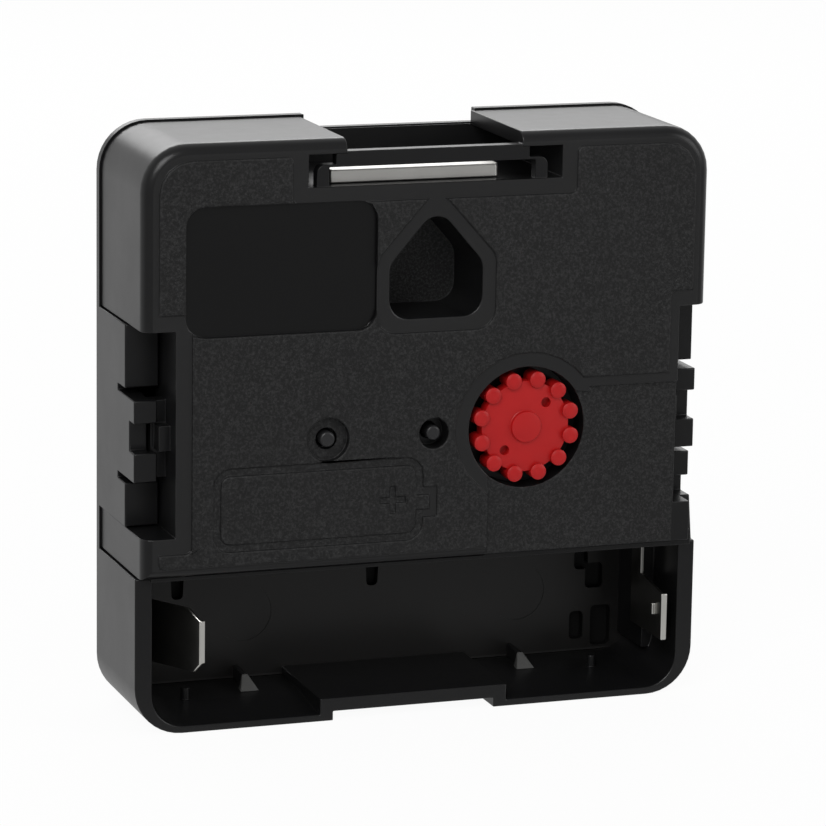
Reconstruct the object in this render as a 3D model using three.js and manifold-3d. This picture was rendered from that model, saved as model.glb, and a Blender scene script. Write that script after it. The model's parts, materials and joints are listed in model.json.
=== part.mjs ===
// Quartz clock movement with its battery bay, standing upright. Millimetres.
// Seen from behind: +X is right, +Y runs from the rear cover towards the dial, +Z is up.
// The origin is below the middle of the whole movement, hand shafts included.
import * as THREE from "three";
import { mergeVertices } from "three/addons/utils/BufferGeometryUtils.js";
import Module from "manifold-3d";

const wasm = await Module();
wasm.setup();

// Case
const caseWidth = 56;
const caseHeight = 56;
const caseDepth = 15.5;
const cornerRadius = 4.6;
const frontThickness = 1.4;
const rimDepth = 1; // strip of the front case in front of the cover's skirt
const sideWall = 1.2;
const seam = 0.12; // parting gap between the two mouldings
const fit = 0.05; // gap of a piece seated on another
const runningGap = 0.1; // radial gap of a pivot in its hole
const overrun = 1; // how far a cut runs past the face that it opens
const grid = 0.0001; // corners are rounded to this, so that faces in one plane meet exactly
const caseArcSteps = 10; // straight pieces of each of the case's rounded corners

// Battery bay
const bayWall = 1.65;
const bayFloor = 1.3;
const bayInnerRadius = 3.2;
const bayEdgeDepth = 2; // its rear edge lies this far in front of the cover's face
const bayTopZ = 15.1;
const ceilingZ = 14.8;
const ceilingThickness = 1.5;
const floorStepLeft = -8.55;
const floorStepRight = 7.6;
const floorStepRise = 0.9;
const ejectorRadius = 2.9;
const ejectorDepth = 0.06;
const ejectorZ = 7.9;
const ejectorShares = [-0.524, 0.546]; // of the bay's half width, as the other places in the bay
const drainWidth = 1.6;
const drainFootWidth = 1.1;
const drainFootRadius = 0.45;
const drainFootZ = 9.6;
const drainShares = [-0.774, -0.0266];
const wallRecessDepth = 1;
const nubWidth = 1.9;
const nubHeight = 1.4;
const nubSlope = 1.3; // depth of its sloping rear face
const nubShares = [-0.55, 0.52];
const nubInset = 4.8; // rear face from the dial wall
const pegRadius = 0.45;
const pegHeight = 1.2;
const pegY = 8.6;
const pegShares = [-0.805, 0.767];
const nestWidth = 1.15;
const nestInset = 6.2;
const nestFootZ = 3;
const slotGap = 0.3; // room of a contact in the slot that it passes through

// Rear cover
const coverInset = 0.2;
const coverThickness = 1.5;
const coverSkirt = 1.1;
const coverEdgeRadius = 1.2;
const coverBottomZ = 15.25;
const panelRise = 0.2;
const panelBorder = 1.5;
const bottomBorder = 1.05;
const panelCornerRadius = 0.6;
const lowStep = 0.5; // the plain panel below the knob lies this much deeper
const lowPanelX = 5.9;
const lowPanelRise = 3.6; // its top edge above the hand shaft
const lowPanelRim = 0.9;
const lowPanelBottomRise = 0.25;
const ringRadius = 7.2;
const cornerInset = 1.3; // right lower corner of the cover, from the side of the case

// Label recess
const labelInset = 4.26;
const labelRight = -5.4;
const labelHeight = 12.1;
const labelDrop = 6; // from the top of the case
const labelRadius = 1.8;
const labelDepth = 0.3;

// Hanging recess
const hangX = 0.45;
const hangHalfWidth = 4.56;
const hangDrop = 2.3; // from the floor of the top notch
const hangHeight = 10.4;
const hangShoulder = 5.3;
const hangTopRadius = 1.7;
const hangFootRadius = 1.9;
const hangDepth = 8;
const hangWall = 1.1;
const hangBorder = 1.3;

// Battery outline on the cover
const markInset = 6.94;
const markRight = -0.6;
const markRise = 2.35; // above the cover's lower edge
const markHeight = 7.9;
const markRadius = 1.6;
const markLine = 0.7;
const markNubWidth = 1.4;
const markNubRise = 2.15;
const markNubHeight = 2.85;
const plusX = -3.6;
const plusArm = 1.3;
const plusLine = 0.55;

// Latches in the two sides, half way up
const leftPocketInset = 3.35;
const leftWallEdge = 5.5; // depths of the rear edges of wall and tab
const leftTabEdge = 2.45;
const leftFootRise = 4.1; // pocket's foot above the bay
const rightPocketInset = 3;
const rightWallEdge = 4;
const rightTabEdge = 3;
const rightFootRise = 4.3;
const pocketRise = 10.6;
const pocketWall = 1.2;
const pocketDepth = 7;
const tabHeight = 7.7;
const latchWallThickness = 1.85;
const webThickness = 1.2; // floor of the pocket above and below the tab
const tabThickness = 1.7;
const tabSlot = 0.65;
const tabSlotDepth = 8;
const tabNotchDrop = 1.1;
const tabNotchHeight = 2.8;
const tabNotchDepth = 1.6;
const barbLength = 0.5;
const barbDepth = 0.9;
const wallStep = 1.7;
const catchGap = 0.2;
const catchDepth = 1.6;
const catchRibY = 2;

// Top notch and hanger hooks
const notchLeft = -12.1;
const notchRight = 12.75;
const notchDepth = 4.6;
const notchWall = 1.2;
const topWallThickness = 1.35;
const topWallLeftEnd = -8.4;
const topWallRightEnd = 8.8;
const frontNotchDepth = 1.3;
const frontNotchLeft = -8;
const frontNotchRight = 9.2;
const barThickness = 1.2;
const barHeight = 1.45;
const barDrop = 1.35;
const barLeft = -9.45;
const barRight = 9.48;
const footLeft = 11.3;
const footInner = 10.1;
const footOverlap = 0.25; // of the feet's tops on the bar
const footRadius = 0.8;
const stripLeft = -9.5;
const stripRight = 7;
const stripThickness = 1.25;
const stripWidth = 2.3;
const stripRearY = 1.8;
const stripRadius = 0.4;

// Gear train: teeth and modules
const handAxisX = 0.4;
const handAxisDrop = 0.3; // below the middle of the case
const thirdSpacing = 10.4; // hand shaft to third arbor
const knobSpacing = 9.35; // hand shaft to setting knob
const toothSteps = { rotor: 12, middle: 48, middlePinion: 8, seconds: 60, secondsPinion: 8 };
const slowSteps = { third: 120, thirdPinion: 12, centre: 48 };
const motionSteps = { cannon: 10, reverse: 30, minutePinion: 8, hour: 32 };
const fineModule = 0.22;
const middleModule = 0.25;
const middleAngle = -139.8; // degrees, from the hand shaft to the middle arbor
const addendumShare = 0.75;
const dedendumShare = 1.15;
const rootShares = { wheel: 0.3, pinion: 0.24 };
const tipShares = { wheel: 0.12, pinion: 0.1 };

// Layers of the train, as shares of the room between cover and dial wall
const layerShares = {
  rotorPinion: [0.07, 0.167],
  middleWheel: [0.095, 0.143],
  middlePinion: [0.143, 0.397],
  magnet: [0.214, 0.373],
  stator: [0.262, 0.325],
  secondsWheel: [0.325, 0.381],
  plate: [0.421, 0.468],
  secondsPinion: [0.484, 0.587],
  thirdWheel: [0.5, 0.548],
  thirdPinion: [0.548, 0.69],
  centreWheel: [0.611, 0.667],
  cannon: [0.722, 0.825],
  reverseWheel: [0.738, 0.802],
  minutePinion: [0.802, 0.937],
  hourWheel: [0.849, 0.921],
  hourHub: [0.921, 0.976],
  board: [0.516, 0.595],
};

// Arbors and pivots
const pivotRadius = 0.35;
const thinArborRadius = 0.5;
const handPivotRadius = 0.7;
const handPivotLength = 1.8; // of its bearing in the cover
const pivotFaceY = 0.2; // rear ends of the pivots that show in the cover
const thirdArborRadius = 0.75;
const thirdFrontRadius = 0.4;
const thirdRingRadius = 1.02;
const thirdRingDepth = 1.4;
const thirdSinkRadius = 2.05;
const thirdSinkDepth = 0.7;
const handSinkRadius = 1.45;
const handSinkDepth = 1.8;
const coverBossRadius = 1.15;
const coverBossDepth = 0.8;
const blindPivotDepth = 0.5;
const wheelHubRadius = 1.25;
const wheelHubLength = 0.8;
const magnetRadius = 2.6;
const magnetSeatRadius = 0.8;
const statorBore = 3;
const statorRing = 4.1;
const frontBossRadius = 1.2;
const frontBossDepth = 2.6;
const frontPivotDepth = 0.7;

// Setting knob
const knobDiscRadius = 4.4;
const knobPins = 12;
const knobPinCircle = 4.6;
const knobPinRadius = 0.77;
const knobPhase = 106.6; // degrees from +X of the first pin
const knobPinY = [0.2, 2.3];
const knobDiscY = [0.65, 2.1];
const knobHubRadius = 1.5;
const knobHubY = 0.25;
const knobHoleRadius = 0.48;
const knobHoleCircle = 3;
const knobHoleAngles = [47, 227];
const knobHoleDepth = 0.8;
const knobShaftRadius = 0.65;
const knobPivotRadius = 0.5;
const wellRadius = 5.85;
const wellWall = 1;
const wellDepth = 3;
const wellFloor = 0.8;

// Hand shafts and bush
const bushRadius = 4;
const threadPitch = 0.75;
const threadDepth = 0.4;
const bushReach = 5.5; // thread beyond the dial side
const bushFlangeRadius = 5.2;
const bushFlange = 0.6;
const bushBore = 2.65;
const hourTubeRadius = 2.5;
const hourTubeBore = 1.85;
const hourTubeReach = 9;
const minuteTubeRadius = 1.7;
const minuteTubeBore = 0.65;
const minuteTubeReach = 12;
const minuteSpigotRadius = 1.2;
const minuteFlat = 1.3;
const minuteFlatLength = 3.2;
const secondsReach = 14;
const hourHubRadius = 3.4;

// Train plate, posts and coil
const plateReachLeft = 16.5; // from the hand shaft
const plateReachRight = 20.8;
const plateGap = 0.3; // above the bay's ceiling
const plateRise = 8;
const plateEarRise = 11.8;
const postRadius = 1;
const postInset = 1.6;
const postOffset = 3.5; // of the lowest post, from the hand shaft
const postPinRadius = 0.6;
const postPinLength = 0.5;
const coilInset = 8; // from the side of the case
const coilMargin = 0.15; // beside the cover
const coreWidth = 2.4;
const coreThickness = 0.8;
const coreRise = 3; // above the bay's ceiling
const coreDrop = 3.9; // below the floor of the top notch
const coilEndGap = 1.6;
const coreOverhang = 1.4;
const bobbinTubeShare = 0.667; // of the flange's radius
const flangeThickness = 0.8;
const windingSink = 0.25; // below the flange's edge
const windingGap = 0.1;
const coilPostRadius = 1.35;
const coilPinLength = 0.5;
const statorLegWidth = 2.8;

// Circuit board and contacts
const boardWidth = 17;
const boardHeight = 13.6;
const boardInset = 3.5; // from the side of the case
const boardDrop = 1.8; // below the floor of the top notch
const boardPostInset = 1.8;
const chipX = 10; // from the board's left and lower edges, as the crystal's place
const chipZ = 7;
const chipRadius = 3;
const chipHeight = 1;
const crystalRadius = 1;
const crystalLength = 6;
const crystalX = 1.5;
const crystalZ = 2.8;
const crystalLeadRadius = 0.2;
const crystalLeadSpread = 0.45;
const sheet = 0.3;
const stripRun = 2.4; // width of the contact strips
const leafHingeGap = 0.35; // from the bay's wall
const leafHingeInset = 4.6; // from the dial wall
const leafAngle = 31; // degrees from the bay's depth at rest
const leafLength = 8.4;
const leafBottomZ = 5.6;
const leafTopZ = 11.6;
const leafTipBottomZ = 6.4;
const leafTipTopZ = 10.6;
const leafChamfer = 1.5;
const leafLip = 0.75;
const leadInset = 3.5; // from the board's right edge
const leadOverlap = 2; // up over the board's lower edge
const plusPlateInset = 1.6; // from the bay's wall
const plusPlateBottomZ = 5.3;
const plusPlateTopZ = 9.9;
const plusTabZ = 10.7;
const plusTabInset = 6.7; // from the dial wall
const plusLip = 0.6;
const plusRidgeY = 3.6;
const plusRidgeZ = 7.5;
const plusRidgeLength = 1.1;
const plusRidgeWidth = 0.7;

// Worked out from the sizes above
const halfWidth = caseWidth / 2;
const frontInnerY = caseDepth - frontThickness;
const rimY = caseDepth - rimDepth;
const totalDepth = caseDepth + secondsReach;
const coverHalfWidth = halfWidth - coverInset;
const coverTopZ = caseHeight - coverInset;
const cornerEndX = halfWidth - cornerInset;
const ceilingTopZ = ceilingZ + ceilingThickness;
const bayInnerX = halfWidth - bayWall;
const nubRearY = frontInnerY - nubInset;
const nestRearY = frontInnerY - nestInset;

const middleZ = caseHeight / 2;
const handAxisZ = middleZ - handAxisDrop;
const hand = [handAxisX, handAxisZ];
const third = [handAxisX - thirdSpacing, handAxisZ];
const knob = [handAxisX + knobSpacing, handAxisZ];
const lowPanelTopZ = handAxisZ + lowPanelRise;

const latchSides = [
  {
    dir: -1,
    pocketX: halfWidth - leftPocketInset,
    wallEdge: leftWallEdge,
    tabEdge: leftTabEdge,
    footZ: bayTopZ + leftFootRise,
  },
  {
    dir: 1,
    pocketX: halfWidth - rightPocketInset,
    wallEdge: rightWallEdge,
    tabEdge: rightTabEdge,
    footZ: bayTopZ + rightFootRise,
  },
];
const pocketTopZ = middleZ + pocketRise;
const tabBottomZ = middleZ - tabHeight / 2;
const tabTopZ = middleZ + tabHeight / 2;
const tabNotchBottomZ = middleZ - tabNotchDrop;
const tabNotchTopZ = tabNotchBottomZ + tabNotchHeight;
const wallStepZ = bayTopZ + rightFootRise + wallStep;

const notchFloorZ = caseHeight - notchDepth;
const frontNotchZ = caseHeight - frontNotchDepth;
const barTopZ = caseHeight - barDrop;
const barBottomZ = barTopZ - barHeight;
const footTopZ = barBottomZ + footOverlap;
const labelLeft = labelInset - halfWidth;
const labelTop = caseHeight - labelDrop;
const labelBottom = labelTop - labelHeight;
const hangTopZ = notchFloorZ - hangDrop;
const hangBottomZ = hangTopZ - hangHeight;
const hangShoulderZ = hangTopZ - hangShoulder;
const markLeft = markInset - halfWidth;
const markBottom = coverBottomZ + markRise;
const markTop = markBottom + markHeight;
const markNubBottom = markBottom + markNubRise;
const markNubTop = markNubBottom + markNubHeight;
const plusZ = (markBottom + markTop) / 2;

const depthAt = (share) => THREE.MathUtils.lerp(coverThickness, frontInnerY, share);
const layers = Object.fromEntries(
  Object.entries(layerShares).map(([name, shares]) => [name, shares.map(depthAt)]));

const secondsPinionModule = (2 * thirdSpacing) / (toothSteps.secondsPinion + slowSteps.third);
const thirdPinionModule = (2 * thirdSpacing) / (slowSteps.thirdPinion + slowSteps.centre);
const motionModule = (2 * knobSpacing) / (motionSteps.cannon + motionSteps.reverse);
const hourModule = (2 * knobSpacing) / (motionSteps.minutePinion + motionSteps.hour);
const middleSpacing = (middleModule * (toothSteps.middlePinion + toothSteps.seconds)) / 2;
const rotorSpacing = (fineModule * (toothSteps.rotor + toothSteps.middle)) / 2;
const radians = THREE.MathUtils.degToRad;
const middle = [
  handAxisX + middleSpacing * Math.cos(radians(middleAngle)),
  handAxisZ + middleSpacing * Math.sin(radians(middleAngle)),
];
const rotor = [middle[0] - rotorSpacing, middle[1]];

const plateLeft = handAxisX - plateReachLeft;
const plateRight = handAxisX + plateReachRight;
const plateBottomZ = ceilingTopZ + plateGap;
const plateTopZ = handAxisZ + plateRise;
const plateEarZ = handAxisZ + plateEarRise;
const platePosts = [
  [handAxisX - postOffset, plateBottomZ + postInset],
  [plateRight - postInset, plateBottomZ + 2 * postInset],
  [plateRight - postInset, plateTopZ - postInset],
  [plateLeft + postInset, plateEarZ - postInset],
];

const coilX = coilInset - halfWidth;
const coreFootZ = ceilingTopZ + coreRise;
const coreHeadZ = notchFloorZ - coreDrop;
const coilBottomZ = coreFootZ + coilEndGap;
const coilTopZ = coreHeadZ - coilEndGap;
const coilY = layers.stator[0] - fit - coreThickness / 2;
const flangeRadius = coilY - coverThickness - coilMargin;
const windingRadius = flangeRadius - windingSink;
const bobbinTubeRadius = bobbinTubeShare * flangeRadius;

const boardRight = halfWidth - boardInset;
const boardLeft = boardRight - boardWidth;
const boardTopZ = notchFloorZ - boardDrop;
const boardBottomZ = boardTopZ - boardHeight;
const boardPosts = [
  [boardLeft + boardPostInset, boardTopZ - boardPostInset],
  [boardRight - boardPostInset, boardBottomZ + boardPostInset],
];
const leafHingeX = leafHingeGap - bayInnerX;
const leafHingeY = frontInnerY - leafHingeInset;
const leadRightX = boardRight - leadInset;
const leadTopZ = boardBottomZ + leadOverlap;
const plusPlateX = bayInnerX - plusPlateInset;
const plusTabY = frontInnerY - plusTabInset;
const centre = [0, 0];

// Solids from geometries, and back
function solid(geometry) {
  const bare = geometry.clone();
  bare.deleteAttribute("normal");
  bare.deleteAttribute("uv");
  const merged = mergeVertices(bare);
  const places = merged.getAttribute("position").array.map((value) => Math.round(value / grid) * grid);
  return new wasm.Manifold(
    new wasm.Mesh({
      numProp: 3,
      vertProperties: places,
      triVerts: new Uint32Array(merged.index.array),
    }),
  );
}

function geometryOf(made) {
  const mesh = made.getMesh();
  const geometry = new THREE.BufferGeometry();
  geometry.setAttribute("position", new THREE.BufferAttribute(mesh.vertProperties, mesh.numProp));
  geometry.setIndex(new THREE.BufferAttribute(mesh.triVerts, 1));
  const flat = geometry.toNonIndexed();
  flat.computeVertexNormals();
  return flat;
}

const join = (first, ...others) => others.reduce((sum, other) => sum.add(other), first);
const cut = (first, ...others) => others.reduce((rest, other) => rest.subtract(other), first);

// Corners are [x, z, radius]; each radius becomes an arc.
function rounded(corners, arcSteps = 5) {
  const points = [];
  corners.forEach(([x, z, radius = 0], i) => {
    const at = new THREE.Vector2(x, z);
    if (!radius) {
      points.push(at);
      return;
    }
    const before = corners.at(i - 1);
    const after = corners[(i + 1) % corners.length];
    const back = new THREE.Vector2(before[0] - x, before[1] - z).normalize();
    const ahead = new THREE.Vector2(after[0] - x, after[1] - z).normalize();
    const half = Math.acos(THREE.MathUtils.clamp(back.dot(ahead), -1, 1)) / 2;
    const middlePoint = back.clone().add(ahead).normalize().multiplyScalar(radius / Math.sin(half)).add(at);
    const start = at.clone().addScaledVector(back, radius / Math.tan(half)).sub(middlePoint);
    const end = at.clone().addScaledVector(ahead, radius / Math.tan(half)).sub(middlePoint);
    const sweep = Math.atan2(start.cross(end), start.dot(end));
    for (let k = 0; k <= arcSteps; k += 1)
      points.push(start.clone().rotateAround(new THREE.Vector2(), (sweep * k) / arcSteps).add(middlePoint));
  });
  return points;
}

// A plate with its outline in the X-Z plane, from depth y0 to y1.
function slab(corners, [y0, y1], arcSteps) {
  const shape = new THREE.Shape(rounded(corners, arcSteps));
  const geometry = new THREE.ExtrudeGeometry(shape, { depth: y1 - y0, bevelEnabled: false });
  return solid(geometry.rotateX(Math.PI / 2).translate(0, y1, 0));
}

// A plate with its outline [y, z] in the Y-Z plane, from x0 to x1.
function sidePlate(corners, [x0, x1]) {
  const shape = new THREE.Shape(rounded(corners));
  const geometry = new THREE.ExtrudeGeometry(shape, { depth: x1 - x0, bevelEnabled: false });
  geometry.rotateX(Math.PI / 2).rotateZ(Math.PI / 2);
  return solid(geometry.translate(x0, 0, 0));
}

const rectangle = (x0, x1, z0, z1, radius = 0) => [
  [x0, z0, radius],
  [x1, z0, radius],
  [x1, z1, radius],
  [x0, z1, radius],
];

function block([xa, xb], [y0, y1], [z0, z1]) {
  const [x0, x1] = [Math.min(xa, xb), Math.max(xa, xb)];
  const geometry = new THREE.BoxGeometry(x1 - x0, y1 - y0, z1 - z0);
  return solid(geometry.translate((x0 + x1) / 2, (y0 + y1) / 2, (z0 + z1) / 2));
}

// A round rod along the depth, at [x, z].
function rod([x, z], radius, [y0, y1], sides = 24) {
  const geometry = new THREE.CylinderGeometry(radius, radius, y1 - y0, sides);
  return solid(geometry.translate(x, (y0 + y1) / 2, z));
}

// A round body along the depth from a closed profile of [radius, y].
function turned(profile, sides = 32) {
  const points = profile.map(([radius, y]) => new THREE.Vector2(radius, y));
  return solid(new THREE.LatheGeometry([...points, points[0].clone()], sides));
}

function gear(teeth, module, [y0, y1], kind, phase) {
  const pitch = (teeth * module) / 2;
  const tip = pitch + addendumShare * module;
  const root = pitch - dedendumShare * module;
  const step = (2 * Math.PI) / teeth;
  const corners = [];
  for (let i = 0; i < teeth; i += 1) {
    const flank = [
      [root, -rootShares[kind]],
      [tip, -tipShares[kind]],
      [tip, tipShares[kind]],
      [root, rootShares[kind]],
    ];
    for (const [radius, share] of flank) {
      const angle = phase + step * (i + share);
      corners.push([radius * Math.cos(angle), radius * Math.sin(angle)]);
    }
  }
  return slab(corners, [y0, y1]);
}

// Phases that set a tooth of one gear into a gap of the next at rest.
const facing = (from, to) => Math.atan2(to[1] - from[1], to[0] - from[0]);
const meshing = (from, to, teeth) => facing(to, from) + Math.PI / teeth;

function caseOutline(inset, radius = cornerRadius - inset) {
  return rectangle(inset - halfWidth, halfWidth - inset, inset, caseHeight - inset, radius);
}

function coverOutline(inset) {
  const radius = cornerRadius - coverInset - inset;
  const side = coverHalfWidth - inset;
  const top = coverTopZ - inset;
  return [
    [-side, coverBottomZ],
    [side, coverBottomZ],
    [side, top, radius],
    [-side, top, radius],
  ];
}

function hangOutline(grow) {
  const side = hangHalfWidth + grow;
  const bottom = hangBottomZ - grow;
  const top = hangTopZ + grow * Math.SQRT2;
  const shoulder = hangShoulderZ + grow * (Math.SQRT2 - 1);
  return [
    [hangX - side, bottom, hangFootRadius],
    [hangX + side, bottom, hangFootRadius],
    [hangX + side, shoulder, hangFootRadius],
    [hangX, top, hangTopRadius],
    [hangX - side, shoulder, hangFootRadius],
  ];
}

// Front case: dial wall, battery bay, latch walls, posts and bearings
const inBay = (shares) => shares.map((share) => share * bayInnerX);

function bayShell() {
  const bayBack = [bayEdgeDepth, rimY + fit];
  const outer = slab(caseOutline(0), bayBack, caseArcSteps);
  const lower = block([-halfWidth, halfWidth], bayBack, [0, bayTopZ]);
  const hollow = rectangle(-bayInnerX, bayInnerX, bayFloor, caseHeight - bayFloor, bayInnerRadius);
  return cut(
    outer.intersect(lower),
    slab(hollow, [bayEdgeDepth - overrun, rimY + overrun], caseArcSteps));
}

function floorStep() {
  const raised = rectangle(
    floorStepLeft - bayFloor, floorStepRight + bayFloor, bayFloor / 2, bayFloor + floorStepRise);
  return slab(raised, [bayEdgeDepth, frontInnerY + fit]);
}

function latchWall({ dir, pocketX, wallEdge, tabEdge, footZ }) {
  const outer = dir * halfWidth;
  const inner = dir * (halfWidth - latchWallThickness);
  const tabInner = dir * (halfWidth - tabThickness);
  const top = pocketTopZ - seam;
  const wallBottom = dir < 0 ? footZ + seam : wallStepZ;
  const wall = block([outer, inner], [wallEdge, rimY + fit], [wallBottom, top]);
  const webs = [[tabTopZ + tabSlot, top], [wallBottom, tabBottomZ - tabSlot]].map((z) =>
    block([inner + dir * fit, dir * (pocketX + seam)], [wallEdge, wallEdge + webThickness], z));
  const tab = block([outer, tabInner], [tabEdge, tabSlotDepth], [tabBottomZ, tabTopZ]);
  const barb = block(
    [tabInner + dir * fit, tabInner - dir * barbLength],
    [tabEdge, tabEdge + barbDepth],
    [tabBottomZ, tabTopZ],
  );
  const across = [outer + dir * overrun, tabInner - dir * overrun];
  const slots = [tabTopZ, tabBottomZ - tabSlot].map((z) =>
    block(across, [tabEdge - overrun, tabSlotDepth], [z, z + tabSlot]));
  const notch = block(
    across, [tabEdge - overrun, tabEdge + tabNotchDepth], [tabNotchBottomZ, tabNotchTopZ]);
  return cut(join(wall, tab, barb, ...webs), notch, ...slots);
}

// Right wall below its latch: its rear edge slopes away from the bay's.
function rightFootWall() {
  const { wallEdge, footZ } = latchSides[1];
  const profile = [
    [bayEdgeDepth + lowStep, bayTopZ - ceilingThickness],
    [rimY + fit, bayTopZ - ceilingThickness],
    [rimY + fit, wallStepZ + fit],
    [wallEdge + catchDepth, wallStepZ + fit],
    [wallEdge + catchDepth, footZ - seam],
    [wallEdge - lowStep, footZ - seam],
  ];
  return sidePlate(profile, [halfWidth - sideWall, halfWidth]);
}

// Low lip inside the cover's skirt, broken by the top notch.
function locatingLip() {
  const lipInset = coverInset + coverSkirt + seam;
  const lipY = [rimY - 2 * frontThickness, frontInnerY + fit];
  const ring = cut(
    slab(caseOutline(lipInset), lipY),
    slab(caseOutline(lipInset + sideWall), [lipY[0] - overrun, lipY[1] + overrun]),
  );
  const lowPart = block(
    [-halfWidth, halfWidth], [lipY[0] - overrun, lipY[1] + overrun], [-overrun, pocketTopZ + 2 * pocketWall]);
  const gap = block(
    [notchLeft - 2 * notchWall, notchRight + 2 * notchWall],
    [lipY[0] - overrun, lipY[1] + overrun],
    [notchFloorZ - 2 * notchWall, caseHeight + overrun],
  );
  return cut(ring, lowPart, gap);
}

function standingPost(at, radius, rearY, pinLength) {
  const shoulder = rod(at, radius, [rearY, frontInnerY + fit], 16);
  const pin = rod(at, postPinRadius, [rearY - pinLength, rearY + fit], 12);
  return shoulder.add(pin);
}

function frontCase() {
  const rimPlate = slab(caseOutline(0), [rimY, caseDepth], caseArcSteps);
  const wallPlate = slab(caseOutline(coverInset + coverSkirt + seam), [frontInnerY, rimY + fit]);
  const ceiling = block(
    [-coverHalfWidth + coverSkirt + seam, halfWidth - sideWall / 2],
    [coverThickness + seam, frontInnerY + fit],
    [ceilingZ, ceilingTopZ],
  );
  const plateSeat = layers.plate[1] + fit;
  const plateStandoffs = platePosts.map((at) =>
    standingPost(at, postRadius, plateSeat, layers.plate[1] - layers.plate[0] + postPinLength));
  const boardStandoffs = boardPosts.map((at) =>
    standingPost(at, postRadius, layers.board[1] + fit, layers.board[1] - layers.board[0] + postPinLength));
  const coilStandoffs = [coreFootZ, coreHeadZ].map((z) =>
    standingPost([coilX, z], coilPostRadius, layers.stator[1] + fit,
      layers.stator[1] - layers.stator[0] + coreThickness + coilPinLength));
  const thirdBoss = rod(third, frontBossRadius, [frontInnerY - frontBossDepth, frontInnerY + fit], 20);
  const nest = block(
    [bayInnerX - nestWidth, bayInnerX + fit],
    [nestRearY, frontInnerY + fit],
    [nestFootZ, ceilingZ + fit],
  );
  const nubs = inBay(nubShares).map(nub);
  const pegs = inBay(pegShares).map(peg);
  const body = join(
    rimPlate, wallPlate, bayShell(), floorStep(), ceiling, locatingLip(), rightFootWall(),
    ...latchSides.map(latchWall), ...plateStandoffs, ...boardStandoffs, ...coilStandoffs,
    thirdBoss, nest, ...nubs, ...pegs,
  );
  return cut(body, ...frontCaseCuts());
}

// Small rib that the battery rests against, its rear face sloping forward.
function nub(x) {
  const top = bayFloor + nubHeight;
  const profile = [
    [nubRearY, bayFloor - fit],
    [frontInnerY + fit, bayFloor - fit],
    [frontInnerY + fit, top],
    [nubRearY + nubSlope, top],
  ];
  return sidePlate(profile, [x - nubWidth / 2, x + nubWidth / 2]);
}

function peg(x) {
  const geometry = new THREE.CylinderGeometry(pegRadius, pegRadius, pegHeight + fit, 12);
  geometry.rotateX(Math.PI / 2);
  return solid(geometry.translate(x, pegY, bayFloor + (pegHeight - fit) / 2));
}

function frontCaseCuts() {
  const through = [frontInnerY - overrun, caseDepth + overrun];
  const flangeSeat = [frontInnerY - overrun, frontInnerY + bushFlange + 2 * fit];
  const underside = block(
    [floorStepLeft, floorStepRight],
    [bayEdgeDepth - overrun, frontInnerY - bayFloor],
    [-overrun, floorStepRise],
  );
  const topEdge = block(
    [frontNotchLeft, frontNotchRight], [frontInnerY - overrun, caseDepth + overrun],
    [frontNotchZ, caseHeight + overrun]);
  const ejectors = inBay(ejectorShares).map((x) =>
    rod([x, ejectorZ], ejectorRadius, [frontInnerY - overrun, frontInnerY + ejectorDepth], 20));
  const drains = inBay(drainShares).map((x) =>
    slab(
      [
        [x - drainWidth / 2, ceilingZ],
        [x - drainFootWidth / 2, drainFootZ, drainFootRadius],
        [x + drainFootWidth / 2, drainFootZ, drainFootRadius],
        [x + drainWidth / 2, ceilingZ],
      ],
      [frontInnerY - overrun, frontInnerY + wallRecessDepth],
    ));
  const leadSlot = block(
    [leafHingeX - slotGap, leafHingeX + sheet + slotGap],
    [leafHingeY - slotGap, leafHingeY + stripRun + 2 * slotGap],
    [ceilingZ - overrun, ceilingTopZ + overrun],
  );
  const plusSlot = block(
    [plusPlateX - slotGap, plusPlateX + sheet + slotGap],
    [plusTabY - slotGap, plusTabY + stripRun + slotGap],
    [ceilingZ - overrun, ceilingTopZ + overrun],
  );
  return [
    rod(hand, bushFlangeRadius + 2 * fit, flangeSeat, 24),
    rod(hand, bushRadius + fit, through, 24),
    rod(third, thirdFrontRadius + runningGap, [frontInnerY - frontBossDepth - overrun, frontInnerY], 16),
    rod(knob, knobPivotRadius + runningGap, [frontInnerY - overrun, frontInnerY + frontPivotDepth], 16),
    underside, topEdge, leadSlot, plusSlot, ...ejectors, ...drains, ...nestRecesses(),
  ];
}

// Dark moulded recesses in the bay's back wall beside the positive contact, as shares of the bay.
function nestRecesses() {
  const recessShares = [
    [0.76, 0.815, 0.17, 0.36],
    [0.845, 0.925, 0.12, 0.39],
    [0.775, 0.83, 0.64, 0.77],
    [0.82, 0.89, 0.51, 0.68],
  ];
  return recessShares.map(([x0, x1, z0, z1]) =>
    slab(
      rectangle(bayInnerX * x0, bayInnerX * x1, bayTopZ * z0, bayTopZ * z1, pegRadius),
      [frontInnerY - overrun, frontInnerY + wallRecessDepth], 3,
    ));
}

// Rear cover: a deep cap with a rounded rear edge and raised, grained panels
function coverCap() {
  const shape = new THREE.Shape(rounded(coverOutline(0), 8));
  const geometry = new THREE.ExtrudeGeometry(shape, {
    depth: caseDepth,
    bevelThickness: coverEdgeRadius,
    bevelSize: coverEdgeRadius,
    bevelOffset: -coverEdgeRadius,
    bevelSegments: 4,
  });
  geometry.rotateX(Math.PI / 2).translate(0, panelRise + coverEdgeRadius + caseDepth, 0);
  const far = block(
    [-caseWidth, caseWidth], [rimY - fit, 2 * caseDepth], [-overrun, caseHeight + overrun]);
  return cut(solid(geometry), far);
}

function coverCavity() {
  const inner = coverOutline(coverSkirt);
  inner[0][1] -= overrun;
  inner[1][1] -= overrun;
  return slab(inner, [coverThickness, rimY + overrun], 8);
}

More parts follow.
